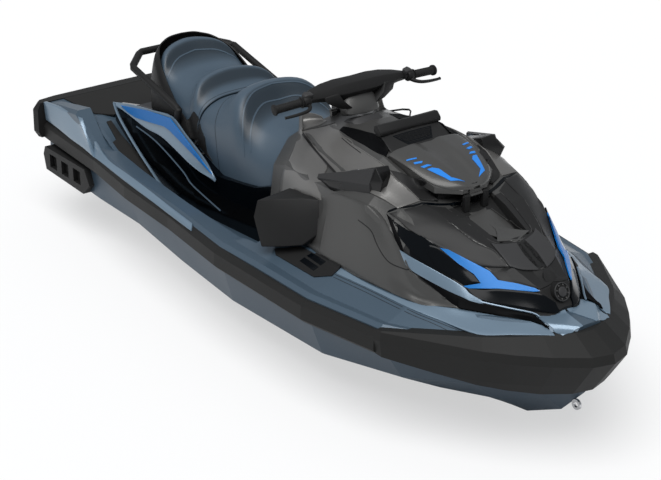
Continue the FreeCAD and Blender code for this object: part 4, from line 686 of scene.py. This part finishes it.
# Rings of (x, z) at each distance from the centre: the padded bar, the stem and the neck
padRings = [
    (0, [(128, 1022), (118, 1052), (146, 1088), (214, 1084), (238, 1050), (214, 1014)]),
    (85, [(128, 1024), (117, 1054), (144, 1089), (212, 1083), (236, 1050), (212, 1016)]),
    (150, [(134, 1030), (122, 1056), (146, 1084), (206, 1078), (228, 1050), (206, 1022)]),
    (212, [(152, 1034), (140, 1054), (156, 1074), (198, 1070), (216, 1050), (200, 1030)]),
    (262, [(184, 1038), (178, 1052), (188, 1066), (210, 1064), (220, 1052), (210, 1038)]),
]
stemRings = [
    (0, [(268, 962), (252, 996), (222, 1032), (150, 1030), (168, 985), (196, 938)]),
    (60, [(264, 964), (246, 996), (218, 1030), (152, 1028), (170, 985), (198, 940)]),
    (80, [(248, 966), (234, 990), (208, 1018), (164, 1016), (178, 984), (204, 946)]),
]
neckRings = [
    (0, [(318, 925), (274, 955), (205, 930), (180, 900), (320, 900)]),
    (56, [(312, 925), (270, 953), (207, 930), (182, 900), (318, 900)]),
    (78, [(300, 920), (262, 940), (212, 924), (190, 900), (310, 900)]),
]

# The arms, the switch pods and the levers are drawn on port and mirrored
armRings = [
    [(246, -30, 972), (186, -28, 978), (176, -66, 992), (240, -74, 984)],
    [(250, -60, 992), (176, -56, 1004), (164, -110, 1006), (238, -118, 996)],
    [(250, -100, 1024), (164, -96, 1036), (150, -158, 1036), (232, -164, 1020)],
    [(236, -118, 1058), (160, -116, 1064), (150, -176, 1060), (222, -182, 1050)],
]
switchRings = [
    [(196, -236, 1066), (222, -236, 1062), (226, -236, 1078), (200, -236, 1084)],
    [(192, -262, 1066), (220, -262, 1060), (224, -262, 1080), (196, -262, 1088)],
    [(194, -276, 1066), (218, -276, 1062), (220, -276, 1076), (198, -276, 1080)],
]
leverLine = [
    (226, -262, 1040), (246, -270, 1036), (262, -292, 1032), (264, -330, 1028), (258, -372, 1024),
    (252, -396, 1022),
]


def makeBarCore():
    # the tube through the grips, the stem and the two arms that carry the pad
    bm = bmesh.new()
    tubeLine(bm, [gripInner + inward * barSettings["tubeIn"],
                  gripOuter + inward * barSettings["tubeOut"]],
             barSettings["tube"], barSettings["tubeSides"])
    settle("barTube", bm, "blackPlastic", mirror=True, sharp=40, body=bars)
    solidRows("steeringStem", "greyPaint", mirroredRings(stemRings), body=bars)
    solidRows("neckShell", "greyPlastic", mirroredRings(neckRings), replaced=["steering_neck"])
    solidRows("barArms", "blackPlastic", armRings, mirror=True, body=bars)


def makeGrips():
    radius, flange = barSettings["gripRadius"], barSettings["flange"]
    start, long = barSettings["ribbed"]
    pitch = long / barSettings["ribs"]
    crest = radius + barSettings["ribDepth"]
    # how far along the grip each ring is, and its radius
    rings = [(0.0, radius), (0.004, flange), (0.030, flange), (0.045, radius)]
    for index in range(barSettings["ribs"]):
        base = start + long * index / barSettings["ribs"]
        rings += [(base, radius), (base + pitch * 0.35, crest), (base + pitch * 0.65, crest),
                  (base + pitch * 0.95, radius)]
    rings += [(0.925, radius), (0.94, flange * 0.98), (0.985, flange * 0.98),
              (1.0, flange * 0.80)]
    bm = bmesh.new()
    tubeLine(bm, [gripInner.lerp(gripOuter, share) for share, _ in rings],
             [width for _, width in rings], barSettings["gripSides"])
    settle("gripSleeves", bm, "gripRubber", mirror=True, sharp=50, body=bars,
           replaced=["grips"])


def makeLevers():
    # a clamp with a switch pod on the bar at each side, and the lever ahead of the grip
    bm = bmesh.new()
    tubeLine(bm, [gripInner + inward * run for run in leverSettings["along"]],
             leverSettings["radii"], leverSettings["clampSides"])
    settle("leverClamps", bm, "blackPlastic", mirror=True, sharp=40, body=bars,
           replaced=["levers"])
    spots = alongRow([place(*spot) for spot in leverLine], leverSettings["bladeSteps"])
    last = len(spots) - 1
    widths = [leverSettings["blade"] - leverSettings["taper"] * index / last
              for index in range(last)] + [leverSettings["tip"]]
    bm = bmesh.new()
    tubeLine(bm, spots, widths, leverSettings["bladeSides"])
    settle("leverBlades", bm, "blackPlastic", mirror=True, sharp=50, body=bars)
    solidRows("switchPods", "greyPlastic", switchRings, bevel=0.003, mirror=True, body=bars)


solidRows("barPad", "blackPlastic", mirroredRings(padRings), body=bars, replaced=["handlebar"])
makeBarCore()
makeGrips()
makeLevers()
print("steering made")

# Front body: panels laid over the moulding on its starboard side, and what lies on them
sideways = (0.3, -1, 0.5)
panel("sideBodyPanel", "greyPaint", sideways, [
    [(397, 402, 532), (422, 394, 591), (443, 384, 649), (459, 375, 702), (446, 363, 747)],
    [(532, 421, 540), (539, 406, 604), (538, 391, 667), (533, 377, 728), (515, 364, 784)],
    [(658, 420, 537), (657, 406, 605), (651, 391, 674), (637, 377, 739), (620, 363, 801)],
    [(781, 416, 534), (765, 404, 595), (749, 391, 659), (732, 379, 724), (702, 359, 806)],
    [(892, 403, 527), (867, 394, 581), (837, 385, 640), (804, 374, 707), (763, 350, 798)],
    [(1002, 389, 527), (967, 379, 557), (930, 374, 607), (892, 368, 664), (843, 356, 757)],
    [(1068, 372, 526), (1038, 362, 539), (1014, 362, 571), (981, 364, 599), (921, 355, 686)],
    [(1117, 338, 529), (1102, 335, 540), (1081, 337, 556), (1046, 341, 585), (985, 356, 621)],
    [(1189, 299, 539), (1183, 300, 541), (1173, 301, 546), (1153, 303, 555), (1128, 311, 563)],
], steps=(4, 4), thick=0.009)
# the knee, console and cap panels use the lighter copy of the grey paint, painted light
panel("kneePanel", "greyPaintLit", sideways, [
    [(64, 192, 931), (77, 198, 936), (91, 203, 942), (103, 207, 946)],
    [(80, 208, 871), (94, 213, 876), (109, 216, 882), (124, 220, 882)],
    [(108, 247, 828), (142, 246, 845), (178, 248, 860), (216, 253, 870)],
    [(110, 273, 783), (178, 275, 814), (244, 277, 842), (310, 282, 864)],
    [(84, 290, 719), (211, 308, 772), (317, 312, 814), (402, 305, 850)],
    [(77, 299, 653), (213, 324, 709), (329, 341, 758), (408, 336, 801)],
    [(94, 314, 595), (227, 340, 646), (344, 357, 692), (444, 365, 732)],
], steps=(4, 4), thick=0.007)
panel("consolePanel", "greyPaintLit", sideways, [
    [(122, 216, 891), (147, 180, 900), (179, 144, 913), (192, 101, 921)],
    [(183, 241, 876), (225, 218, 896), (259, 189, 910), (309, 168, 926)],
    [(287, 275, 869), (332, 254, 891), (364, 224, 906), (403, 196, 924)],
    [(402, 302, 856), (434, 278, 882), (464, 248, 901), (503, 215, 926)],
    [(493, 323, 845), (527, 292, 878), (554, 255, 901), (592, 223, 921)],
    [(613, 330, 842), (631, 301, 873), (640, 260, 894), (665, 223, 910)],
    [(725, 323, 837), (726, 290, 861), (723, 254, 879), (735, 231, 886)],
    [(772, 313, 830), (781, 281, 845), (782, 247, 857), (792, 218, 861)],
    [(838, 303, 817), (845, 276, 821), (850, 242, 824), (853, 206, 827)],
], steps=(4, 4), thick=0.010)
panel("consoleCap", "greyPaintLit", sideways, [
    [(55, 170, 933), (70, 148, 936), (86, 128, 932), (104, 109, 923)],
    [(61, 180, 904), (79, 152, 909), (99, 125, 911), (116, 102, 911)],
    [(107, 212, 889), (128, 179, 899), (146, 147, 908), (140, 107, 914)],
], steps=(4, 4), thick=0.009)
# painted shade: a dark grey patch on the console just ahead of the mirror stands for the mirror's
# shadow
panel("mirrorShadePatch", "greyDark", sideways, [
    [(685, 226, 902), (696, 231, 897), (731, 235, 886)],
    [(732, 199, 899), (765, 216, 877), (801, 222, 855)],
    [(767, 171, 882), (798, 182, 855), (834, 207, 838)],
    [(826, 159, 880), (820, 138, 836), (853, 194, 826)],
    [(665, -35, 724), (861, 128, 816), (873, 136, 814)],
], steps=(3, 3), bevel=0.0012)
panel("lightStrip", "paleBlueAndHighlight", sideways, [
    [(916, 357, 688), (960, 348, 677), (1038, 318, 654), (1113, 285, 628), (1165, 263, 608),
     (1219, 242, 583), (1249, 232, 566)],
    [(935, 358, 665), (975, 351, 653), (1051, 323, 630), (1121, 292, 608), (1178, 269, 590),
     (1222, 249, 572), (1251, 234, 562)],
    [(957, 359, 641), (991, 354, 628), (1062, 327, 605), (1131, 299, 585), (1191, 274, 572),
     (1225, 256, 560), (1254, 235, 557)],
], thick=0.006)
fasciaTree = treeOf("fascia", "lens_panels", "front_frame", "bow_cap", "console")
bowTree = treeOf("deck", "front_frame", "bow_cap", "bow_bumper")
consoleTree = treeOf("console", "consolePanel", "consoleCap", "kneePanel")
patchOn("fasciaShade", "greyDark", fasciaTree, [
    (884, 192, 815), (915, 131, 801), (1050, 110, 764), (1145, 91, 730), (1245, 115, 676),
    (1170, 146, 705), (1047, 176, 763),
], lift=0.0016)
# painted highlight: lighter grey beads along the fascia's creases stand for the light caught on
# their edges
seam("fasciaCreaseHighlights", "greyPaint", fasciaTree, [
    [(874, 194, 817), (965, 183, 794), (1055, 173, 760), (1129, 150, 731), (1180, 117, 714),
     (1253, 113, 672), (1318, -25, 650)],
    [(914, 130, 802), (1043, 114, 766), (1150, 88, 728), (1192, -20, 717), (1255, -28, 683),
     (1319, -30, 650)],
    [(957, -60, 760), (1062, -76, 718), (1187, -14, 720)],
    [(814, 326, 794), (910, 309, 760), (1028, 269, 725), (1108, 227, 697), (1198, 169, 661),
     (1242, 159, 635)],
], width=0.003, lift=0.0016)
seam("bodyGaps", "blackGloss", fasciaTree, [
    [(804, 328, 795), (850, 261, 816), (868, 189, 818), (896, 105, 803), (906, -37, 780),
     (897, -125, 805), (870, -205, 819)],
], width=0.012, lift=0.0016)
# painted highlight: a pale patch on the deck's top at the bow, for the light on that facet
patchOn("bowFacetHighlight", "paleBlueAndHighlight", bowTree, [
    (1396, 111, 545), (1430, 74, 536), (1441, 5, 535), (1560, 32, 524), (1548, 117, 514),
    (1470, 122, 534),
], lift=0.0022)
seam("deckGrooves", "blackPlastic", treeOf("deck", "hull"), [
    [(649, 449, 517), (829, 429, 516), (1039, 409, 511), (1174, 372, 499), (1334, 331, 498)],
    [(654, 461, 512), (833, 442, 511), (1041, 421, 506), (1169, 386, 494), (1316, 362, 496)],
], width=0.0032, lift=0.0003)
seam("consoleSeams", "blackPlastic", None, [
    [(-578, -277, 649), (-558, -267, 590), (132, 224, 882), (242, 261, 873), (386, 300, 858),
     (492, 324, 845)],
], width=0.011, lift=0.0012)
seam("consoleLines", "blackPlastic", consoleTree, [
    [(118, 212, 888), (143, 177, 898), (175, 141, 911), (188, 98, 919)],
    [(343, 187, 918), (431, 208, 917), (512, 224, 916)],
], width=0.0045, lift=0.0008)
seam("consoleRidge", "greyPaintLit", consoleTree, [
    [(314, 165, 925), (459, 200, 925), (578, 216, 920), (666, 218, 906), (731, 222, 886),
     (847, 201, 825)],
], width=0.006, lift=0.0016)
# painted shade: a dark bead along the scoop's S-shaped crease
seam("scoopCreaseShade", "greyDark", treeOf("sideBodyPanel"), [
    [(690, 375, 732), (766, 373, 716), (808, 376, 676), (853, 379, 641), (898, 373, 623),
     (972, 355, 621)],
], width=0.006, lift=0.0006)
print("front panels made")

# Hood: a skin with a shallow valley, from stations of x, half width, middle and edge heights
hoodStations = [
    (628, 180, 948, 936), (680, 176, 940, 928), (740, 171, 930, 916), (800, 160, 915, 896),
    (850, 143, 901, 880), (885, 118, 890, 869), (912, 86, 881, 863), (930, 52, 876, 862),
    (940, 16, 873, 866),
]
hoodShape = {"valley": 13, "valleyHalf": 55, "spots": (0, 0.16, 0.34, 0.55, 0.78, 0.94, 1),
             "lift": 7, "bow": 4, "roll": 10, "rollFrom": 0.9}
chevrons = [
    [(701, 150, 922), (714, 111, 924), (721, 115, 922), (708, 152, 920)],
    [(732, 139, 916), (744, 105, 918), (752, 116, 915), (741, 141, 914)],
    [(765, 132, 909), (768, 104, 912), (780, 91, 909), (777, 125, 906)],
    [(788, 120, 902), (792, 98, 905), (809, 80, 900), (841, 75, 890), (870, 70, 881),
     (907, 33, 875), (881, 82, 875), (824, 106, 892)],
]


def makeHoodSkin():
    rows = []
    for x, half, middle, edge in hoodStations:
        row = []
        for share in hoodShape["spots"]:
            y = half * share
            dip = max(0, 1 - (y / hoodShape["valleyHalf"]) ** 2) * hoodShape["valley"]
            past = max(0, share - hoodShape["rollFrom"]) / (1 - hoodShape["rollFrom"])
            drop = (middle - edge) * share ** 2 + hoodShape["roll"] * past
            row.append((x + hoodShape["bow"] * (1 - share), y,
                        middle + hoodShape["lift"] - drop - dip))
        rows.append([(x, -y, z) for x, y, z in reversed(row[1:])] + row)
    panel("hoodSkin", "greyPaint", (0, 0, 1), rows, mirror=False, body="hood")


makeHoodSkin()
hoodTree = treeOf("hoodSkin")
for number, outline in enumerate(chevrons):
    patchOn("hoodChevron%d" % (number + 1), "stripeBlue", hoodTree, outline, lift=0.0016,
            step=0.008, body="hood")
panel("hoodMouth", "gapAndShadeBlack", (1, -0.4, 0.3), [
    [(824, 157, 876), (723, 40, 777), (663, -43, 699)],
    [(868, 114, 870), (791, 43, 788), (795, 35, 752)],
    [(912, 57, 866), (860, 11, 803), (877, 30, 781)],
    [(929, 7, 871), (906, -21, 820), (912, -20, 785)],
    [(923, -21, 873), (920, -27, 831), (904, -41, 785)],
], steps=(3, 3), thick=0.004, bevel=0.001)
seam("hoodMouthBar", "greyPlastic", treeOf("hoodMouth"), [
    [(870, 95, 807), (875, 31, 799), (939, 21, 827)],
], width=0.006, lift=0.004)
print("hood made")

# Mirrors, and footwell pods with their vents
solidRows("mirrorShells", "blackSatin", [
    [(450, 375, 828), (454, 380, 825), (461, 376, 818), (461, 364, 824), (450, 363, 824)],
    [(501, 368, 856), (507, 380, 831), (505, 366, 794), (505, 336, 800), (501, 338, 852)],
    [(594, 325, 893), (618, 345, 854), (601, 325, 786), (601, 275, 792), (594, 275, 889)],
    [(697, 296, 932), (754, 312, 893), (724, 300, 813), (724, 240, 819), (697, 236, 928)],
    [(707, 288, 911), (746, 298, 887), (725, 290, 832), (725, 235, 838), (707, 233, 907)],
], bevel=0.007, sharp=55, mirror=True)
solidRows("podShells", "blackPlastic", [
    [(185, 330, 690), (231, 523, 700), (226, 540, 634), (278, 540, 518), (220, 330, 500)],
    [(300, 330, 706), (300, 465, 713), (320, 492, 632), (355, 500, 536), (320, 330, 510)],
    [(367, 330, 720), (367, 406, 725), (385, 435, 650), (430, 450, 555), (400, 330, 530)],
    [(428, 330, 724), (425, 362, 725), (446, 372, 680), (462, 392, 600), (440, 330, 560)],
], bevel=0.005, mirror=True, replaced=["footwell_pods"])
podTree = treeOf("deck", "sideBodyPanel", "side_panels")
patchOn("ventPlate", "blackPlastic", podTree, [
    (291, 477, 501), (390, 416, 529), (640, 418, 536), (646, 461, 512), (583, 500, 495),
    (326, 497, 493),
], lift=0.004)
ventTree = treeOf("ventPlate")
for number, outline in enumerate([
    [(454, 472, 505), (456, 450, 515), (556, 456, 513), (556, 480, 503)],
    [(457, 440, 519), (462, 420, 528), (559, 424, 527), (557, 447, 517)],
]):
    patchOn("ventSlot%d" % (number + 1), "blackGloss", ventTree, outline, lift=0.001)
print("mirrors and pods made")

# Visor with its bar and grille
panel("visorFace", "greyDark", (1, 0, 1), [
    [(512, 150, 1003), (536, 146, 974), (572, 149, 955), (606, 152, 934)],
    [(518, 120, 1003), (541, 118, 974), (580, 120, 953), (620, 124, 932)],
    [(522, 60, 1003), (546, 60, 974), (590, 60, 948), (640, 62, 932)],
    [(524, 0, 1003), (548, 0, 974), (592, 0, 946), (644, 0, 932)],
], steps=(3, 3), thick=0.005, bevel=0.001, replaced=["visor"])
barEnd = [(500, 990), (503, 1010), (524, 1014), (546, 992), (545, 976), (520, 970)]
solidRows("visorBar", "blackPlastic",
          [[(x, side, z) for x, z in barEnd] for side in (154, 0, -154)])
grille = {"x": 556, "pitch": 5.5, "half": 88, "narrowing": 4, "z": 960, "ribs": 9}
grilleLines = [
    [(grille["x"] + grille["pitch"] * rib, side * (grille["half"] - grille["narrowing"] * rib),
      grille["z"]) for side in (1, 0, -1)] for rib in range(grille["ribs"])]
visorTree = treeOf("visorFace")
patchOn("grillePlate", "blackGloss", visorTree, [
    (552, 94, 965), (552, -94, 965), (604, -58, 940), (604, 58, 940),
], lift=0.001, step=0.010, mirror=False)
seam("grilleRibs", "greyDark", visorTree, grilleLines, width=0.0022, lift=0.0022, steps=4,
     mirror=False)
print("visor made")

# Fascia: arms, nose, lenses, the blue blade and the dark bands under it, with a painted highlight
# on the nose facets and painted shade in the console recess
ahead = (0.5, -0.6, 1)
panel("fasciaArm", "greyDeep", ahead, [
    [(818, 330, 796), (847, 297, 809), (863, 252, 817), (878, 197, 820)],
    [(871, 320, 779), (904, 277, 791), (933, 229, 799), (957, 186, 800)],
    [(918, 316, 763), (959, 265, 772), (1002, 214, 775), (1038, 178, 770)],
    [(990, 289, 739), (1029, 241, 744), (1071, 196, 743), (1119, 156, 735)],
    [(1044, 268, 723), (1083, 225, 719), (1129, 178, 716), (1173, 131, 722)],
    [(1111, 229, 697), (1145, 192, 696), (1182, 156, 694), (1215, 123, 699)],
    [(1182, 185, 668), (1203, 164, 672), (1224, 145, 673), (1250, 120, 677)],
], steps=(3, 3))
panel("fasciaNose", "greyDark", ahead, [
    [(1212, 170, 659), (1229, 149, 665), (1253, 120, 675)],
    [(1250, 162, 635), (1275, 112, 650), (1289, 53, 664)],
    [(1302, 126, 630), (1325, 60, 641), (1334, -18, 655)],
    [(1376, 72, 622), (1374, 19, 625), (1358, -28, 633)],
], steps=(3, 3))
patchOn("lensGloss", "blackGloss", fasciaTree, [
    (831, 333, 780), (915, 313, 753), (945, 300, 750), (1030, 270, 723), (1069, 251, 711),
    (1179, 189, 664), (1174, 215, 645), (1207, 211, 621), (1161, 257, 605), (1067, 299, 639),
    (964, 333, 687), (903, 340, 725),
], lift=0.0035, step=0.010)
patchOn("fasciaLipPatch", "greyDeep", fasciaTree, [
    (1154, 86, 726), (1192, -18, 717), (1254, -24, 684), (1313, -28, 653), (1253, 111, 674),
], lift=0.002)
panel("gapFill", "gapAndShadeBlack", ahead, [
    [(807, 334, 793), (836, 333, 783)],
    [(865, 351, 747), (905, 346, 723)],
    [(907, 356, 691), (934, 351, 682)],
    [(954, 358, 637), (964, 351, 652)],
    [(1056, 331, 594), (1063, 319, 617)],
    [(1191, 297, 538), (1185, 270, 576)],
    [(1281, 238, 532), (1254, 229, 559)],
    [(1364, 188, 534), (1333, 170, 553)],
    [(1432, 152, 536), (1405, 112, 539)],
], steps=(4, 2), thick=0.004, bevel=0.0008)
tailTree = treeOf("lensGloss", "fasciaNose", "fasciaArm")
flatPatch("accentBlade", "blueTrim", [
    (1048, 274, 722), (1075, 256, 720), (1189, 190, 668), (1215, 175, 662), (1254, 169, 639),
    (1311, 125, 634), (1366, 88, 626), (1384, 81, 619), (1370, 96, 615), (1276, 179, 616),
    (1191, 252, 605), (1171, 263, 610), (1217, 218, 626), (1182, 222, 651), (1123, 249, 680),
], thick=0.005, replaced=["accents"])
panel("fasciaUnder", "blackGloss", ahead, [
    [(1176, 260, 606), (1198, 256, 591), (1226, 244, 580)],
    [(1227, 220, 604), (1247, 222, 585), (1273, 217, 566)],
    [(1274, 178, 613), (1302, 176, 586), (1335, 168, 562)],
    [(1336, 123, 614), (1362, 124, 584), (1387, 125, 557)],
    [(1384, 81, 609), (1403, 85, 579), (1422, 88, 552)],
    [(1410, 58, 593), (1425, 60, 569), (1440, 59, 546)],
    [(1426, 39, 577), (1437, 38, 561), (1446, 32, 547)],
], bevel=0.001)
panel("fasciaBand", "gapAndShadeBlack", ahead, [
    [(1172, 291, 575), (1184, 298, 558), (1195, 304, 544)],
    [(1227, 260, 567), (1237, 264, 552), (1247, 267, 540)],
    [(1279, 223, 560), (1292, 223, 548), (1304, 223, 537)],
    [(1344, 175, 554), (1354, 176, 544), (1369, 181, 539)],
    [(1397, 133, 548), (1412, 137, 540), (1435, 151, 541)],
    [(1444, 129, 541), (1466, 141, 541), (1476, 141, 536)],
    [(1487, 136, 534), (1492, 135, 531), (1497, 135, 529)],
], bevel=0.001)
# painted highlight: the facets beside the nose crease are a lighter grey on both sides, for the
# facet that faces the light
panel("noseFacetHighlight", "greyPlastic", ahead, [
    [(1147, 112, 735), (1168, 83, 728), (1189, 21, 725)],
    [(1204, 115, 711), (1224, 79, 704), (1247, 30, 695)],
    [(1257, 116, 682), (1290, 78, 669), (1314, 20, 661)],
], steps=(3, 3), thick=0.006, bevel=0.001)
# painted shade: a black sheet on the flat console top stands for the shade in its recess
panel("consoleRecessShade", "gapAndShadeBlack", ahead, [
    [(287, 155, 930), (275, 138, 930), (264, 119, 930)],
    [(374, 173, 933), (352, 142, 934), (327, 106, 936)],
    [(460, 187, 935), (432, 146, 938), (405, 110, 947)],
    [(530, 196, 936), (502, 159, 947), (491, 139, 970)],
    [(583, 197, 933), (560, 166, 944), (555, 154, 968)],
    [(625, 189, 930), (609, 170, 935), (598, 155, 944)],
], thick=0.006, bevel=0.001)
panel("lensLow", "blackGloss", ahead, [
    [(1047, 272, 720), (1016, 294, 727), (1008, 308, 710)],
    [(1115, 246, 683), (1080, 273, 683), (1064, 301, 659)],
    [(1179, 221, 647), (1143, 248, 651), (1123, 277, 631)],
    [(1210, 218, 626), (1194, 234, 621), (1172, 257, 611)],
], thick=0.006, bevel=0.001)
seam("paleLines", "paleBlueAndHighlight", None, [
    [(1251, 245, 572), (1293, 215, 567), (1345, 177, 561), (1404, 130, 553), (1427, 118, 543)],
], width=0.006, lift=0.002)
panel("scoopFloor", "greyPaint", ahead, [
    [(946, 43, 767), (952, -6, 764), (959, -56, 761)],
    [(997, 23, 746), (1008, -28, 745), (1014, -68, 740)],
    [(1068, 17, 736), (1075, -22, 732), (1080, -59, 729)],
    [(1148, 81, 732), (1164, 34, 728), (1182, -15, 724)],
], steps=(3, 3), thick=0.005, bevel=0.001)
seam("stripTail", "paleBlueAndHighlight", tailTree, [
    [(1236, 237, 559), (1319, 176, 552), (1398, 112, 541)],
], width=0.0045, lift=0.003)
print("fascia made")

capSettings = {"centre": (1415.5, 0, 604.2), "facing": (0.894, 0, 0.447), "disc": 0.019,
               "discHeights": (0, 0.005, 0.007), "face": 0.85, "rim": 0.0335,
               "rimThick": 0.0026, "rimHeight": 0.001, "rimSteps": 40, "bosses": 8,
               "bossRing": 0.0265, "boss": 0.0034, "bossHeights": (0, 0.004),
               "sides": (32, 8, 12), "edges": (0.0005, 0.0004)}


def makeBowCap():
    # a rim, a raised disc and a ring of bosses on the nose cap
    facing = Vector(capSettings["facing"]).normalized()
    centre = place(*capSettings["centre"])
    across = Vector((0, 1, 0))
    upward = facing.cross(across)

    def ringSpot(radius, share, height):
        angle = 2 * math.pi * share
        turned = across * math.cos(angle) + upward * math.sin(angle)
        return centre + turned * radius + facing * height

    disc, steps, count = (capSettings[key] for key in ("disc", "rimSteps", "bosses"))
    discSides, rimSides, bossSides = capSettings["sides"]
    rimEdge, bossEdge = capSettings["edges"]
    bm = bmesh.new()
    tubeLine(bm, [centre + facing * height for height in capSettings["discHeights"]],
             [disc, disc, disc * capSettings["face"]], discSides)
    tubeLine(bm, [ringSpot(capSettings["rim"], turn / steps, capSettings["rimHeight"])
                  for turn in range(steps + 1)], capSettings["rimThick"], rimSides)
    settle("bowCapRim", bm, "greyPlastic", rimEdge)
    bm = bmesh.new()
    for turn in range(count):
        ends = [ringSpot(capSettings["bossRing"], (turn + 0.5) / count, height)
                for height in capSettings["bossHeights"]]
        tubeLine(bm, ends, capSettings["boss"], bossSides)
    settle("bowCapBosses", bm, "greyPaint", bossEdge)


# The grab bar's path: the starboard foot, the rake in degrees and lengths; the bend's corners
# are shares of it back along the bar and in from its side
handlePath = {"foot": (-724, 278, 750), "rake": 14, "start": 20, "long": 498, "bend": 110,
              "corners": ((1, 0), (0.8, 0.12), (0.12, 0.8), (0, 1)), "post": 0.065,
              "radius": 0.0165, "sides": 14, "edge": 0.0005}


def makeHandleSleeve():
    # a thick moulded sleeve over the round bar
    x, half, z = handlePath["foot"]
    rake = math.radians(handlePath["rake"])
    long, bend = handlePath["long"], handlePath["bend"]

    def along(run, side):
        return place(x - run * math.cos(rake), side, z + run * math.sin(rake))

    low = Vector((math.sin(rake), 0, math.cos(rake))) * handlePath["post"]
    side = [along(0, half) - low, along(0, half), along(handlePath["start"], half)]
    side += [along(long - bend * back, half - bend * inside)
             for back, inside in handlePath["corners"]]
    spots = side + [Vector((spot.x, -spot.y, spot.z)) for spot in reversed(side)]
    bm = bmesh.new()
    tubeLine(bm, spots, handlePath["radius"], handlePath["sides"])
    settle("handleSleeve", bm, "blackPlastic", handlePath["edge"])


makeBowCap()
makeHandleSleeve()
print("bow cap and handle made")

# Bands of the deck and the gunwale with painted highlights, the footwell's swoosh and its wall
# with painted highlight lines, and the cover beside the cushions
# painted highlight: the deck's top band at the front in the lighter copy of the deck paint
panel("deckHighlightBand", "deckPaintHighlight", (0.2, -0.6, 1), [
    [(647, 423, 531), (648, 437, 525), (650, 450, 519)],
    [(813, 417, 525), (821, 423, 522), (831, 431, 518)],
    [(1006, 392, 525), (1020, 402, 520), (1037, 410, 514)],
    [(1100, 347, 528), (1131, 359, 518), (1169, 372, 504)],
    [(1189, 300, 536), (1244, 310, 517), (1331, 329, 499)],
    [(1306, 212, 533), (1358, 230, 522), (1414, 252, 507)],
    [(1433, 145, 536), (1453, 164, 525), (1486, 185, 515)],
    [(1518, 133, 518), (1524, 138, 519), (1530, 140, 518)],
], thick=0.006, bevel=0.001)
# painted highlight: the gunwale's top in the pale finish, for the light along it
panel("gunwaleHighlightBand", "paleBlueAndHighlight", (0, -0.6, 1), [
    [(-1172, 462, 506), (-1164, 472, 473), (-1130, 494, 449)],
    [(-1012, 486, 471), (-1004, 497, 460), (-990, 511, 453)],
    [(-812, 507, 473), (-802, 519, 462), (-781, 537, 456)],
    [(-589, 526, 470), (-578, 541, 460), (-567, 555, 452)],
    [(-424, 540, 465), (-405, 560, 459), (-399, 569, 448)],
    [(-188, 564, 464), (-165, 584, 460), (-157, 594, 449)],
], steps=(4, 2), thick=0.010, bevel=0.001)
# the rear quarter panel in the pale finish, painted highlight on its facets
panel("quarterPanel", "paleBlueAndHighlight", (0, -1, 1), [
    [(-1651, 463, 561), (-1647, 463, 518), (-1644, 461, 472)],
    [(-1548, 452, 568), (-1532, 457, 519), (-1513, 465, 465)],
    [(-1438, 448, 572), (-1412, 460, 515), (-1380, 475, 457)],
    [(-1352, 449, 580), (-1302, 464, 515), (-1248, 485, 456)],
    [(-1298, 466, 570), (-1206, 478, 494), (-1122, 499, 451)],
], thick=0.018)
panel("swooshPanel", "paleBlueAndHighlight", (0, -1, 1), [
    [(-1268, 300, 637), (-1243, 310, 640), (-1213, 320, 643)],
    [(-1090, 300, 673), (-1085, 310, 650), (-1079, 320, 625)],
    [(-914, 300, 697), (-930, 310, 650), (-946, 320, 606)],
    [(-754, 300, 714), (-788, 310, 654), (-820, 320, 605)],
    [(-648, 300, 665), (-679, 310, 617), (-710, 320, 581)],
    [(-543, 300, 617), (-573, 310, 577), (-597, 320, 550)],
    [(-471, 300, 577), (-483, 310, 552), (-496, 320, 534)],
    [(-400, 300, 527), (-389, 310, 531), (-379, 320, 534)],
], bevel=0.0012, replaced=["side_trims"])
flatPatch("swooshStripe", "blueTrim", [
    (-1166, 317, 651), (-945, 317, 691), (-739, 317, 713), (-676, 317, 683), (-549, 317, 620),
    (-413, 317, 552), (-467, 317, 568), (-562, 317, 598), (-744, 317, 653), (-788, 317, 659),
    (-949, 317, 638), (-1079, 317, 625),
], thick=0.004)
# painted highlight: a pale bead along the edge of the footwell's black wall
seam("wallEdgeHighlights", "paleBlueAndHighlight", None, [
    [(-1214, 326, 652), (-1174, 326, 595), (-1062, 326, 510), (-928, 326, 426), (-774, 326, 345),
     (-619, 326, 325), (-404, 326, 297)],
], width=0.012, lift=0.002)
# painted highlight: a thin blue-grey line along a fold of the black wall, for the light streak on
# it
seam("wallFoldHighlights", "deckPaint", None, [
    [(-1024, 322, 591), (-888, 322, 575), (-777, 322, 545), (-636, 322, 493), (-573, 322, 456),
     (-456, 322, 428), (-342, 322, 405)],
], width=0.007, lift=0.002)
flatPatch("rampMatting", "matFoam", [
    (-1129, 391, 498), (-1155, 326, 511), (-1118, 322, 492), (-1027, 308, 443), (-782, 308, 312),
    (-780, 338, 311), (-906, 385, 379), (-1027, 430, 443), (-1076, 424, 469),
], thick=0.014)
coverTree = treeOf("driverSeatCushion", "passengerSeatCushion", "seatBackShell")
patchOn("seatSideCover", "blackPlastic", coverTree, [
    (-720, 254, 668), (-663, 227, 740), (-614, 226, 714), (-544, 256, 658), (-531, 257, 595),
    (-494, 275, 565), (-536, 275, 579), (-627, 260, 615),
], lift=0.004, step=0.014)
print("deck bands and footwells made")
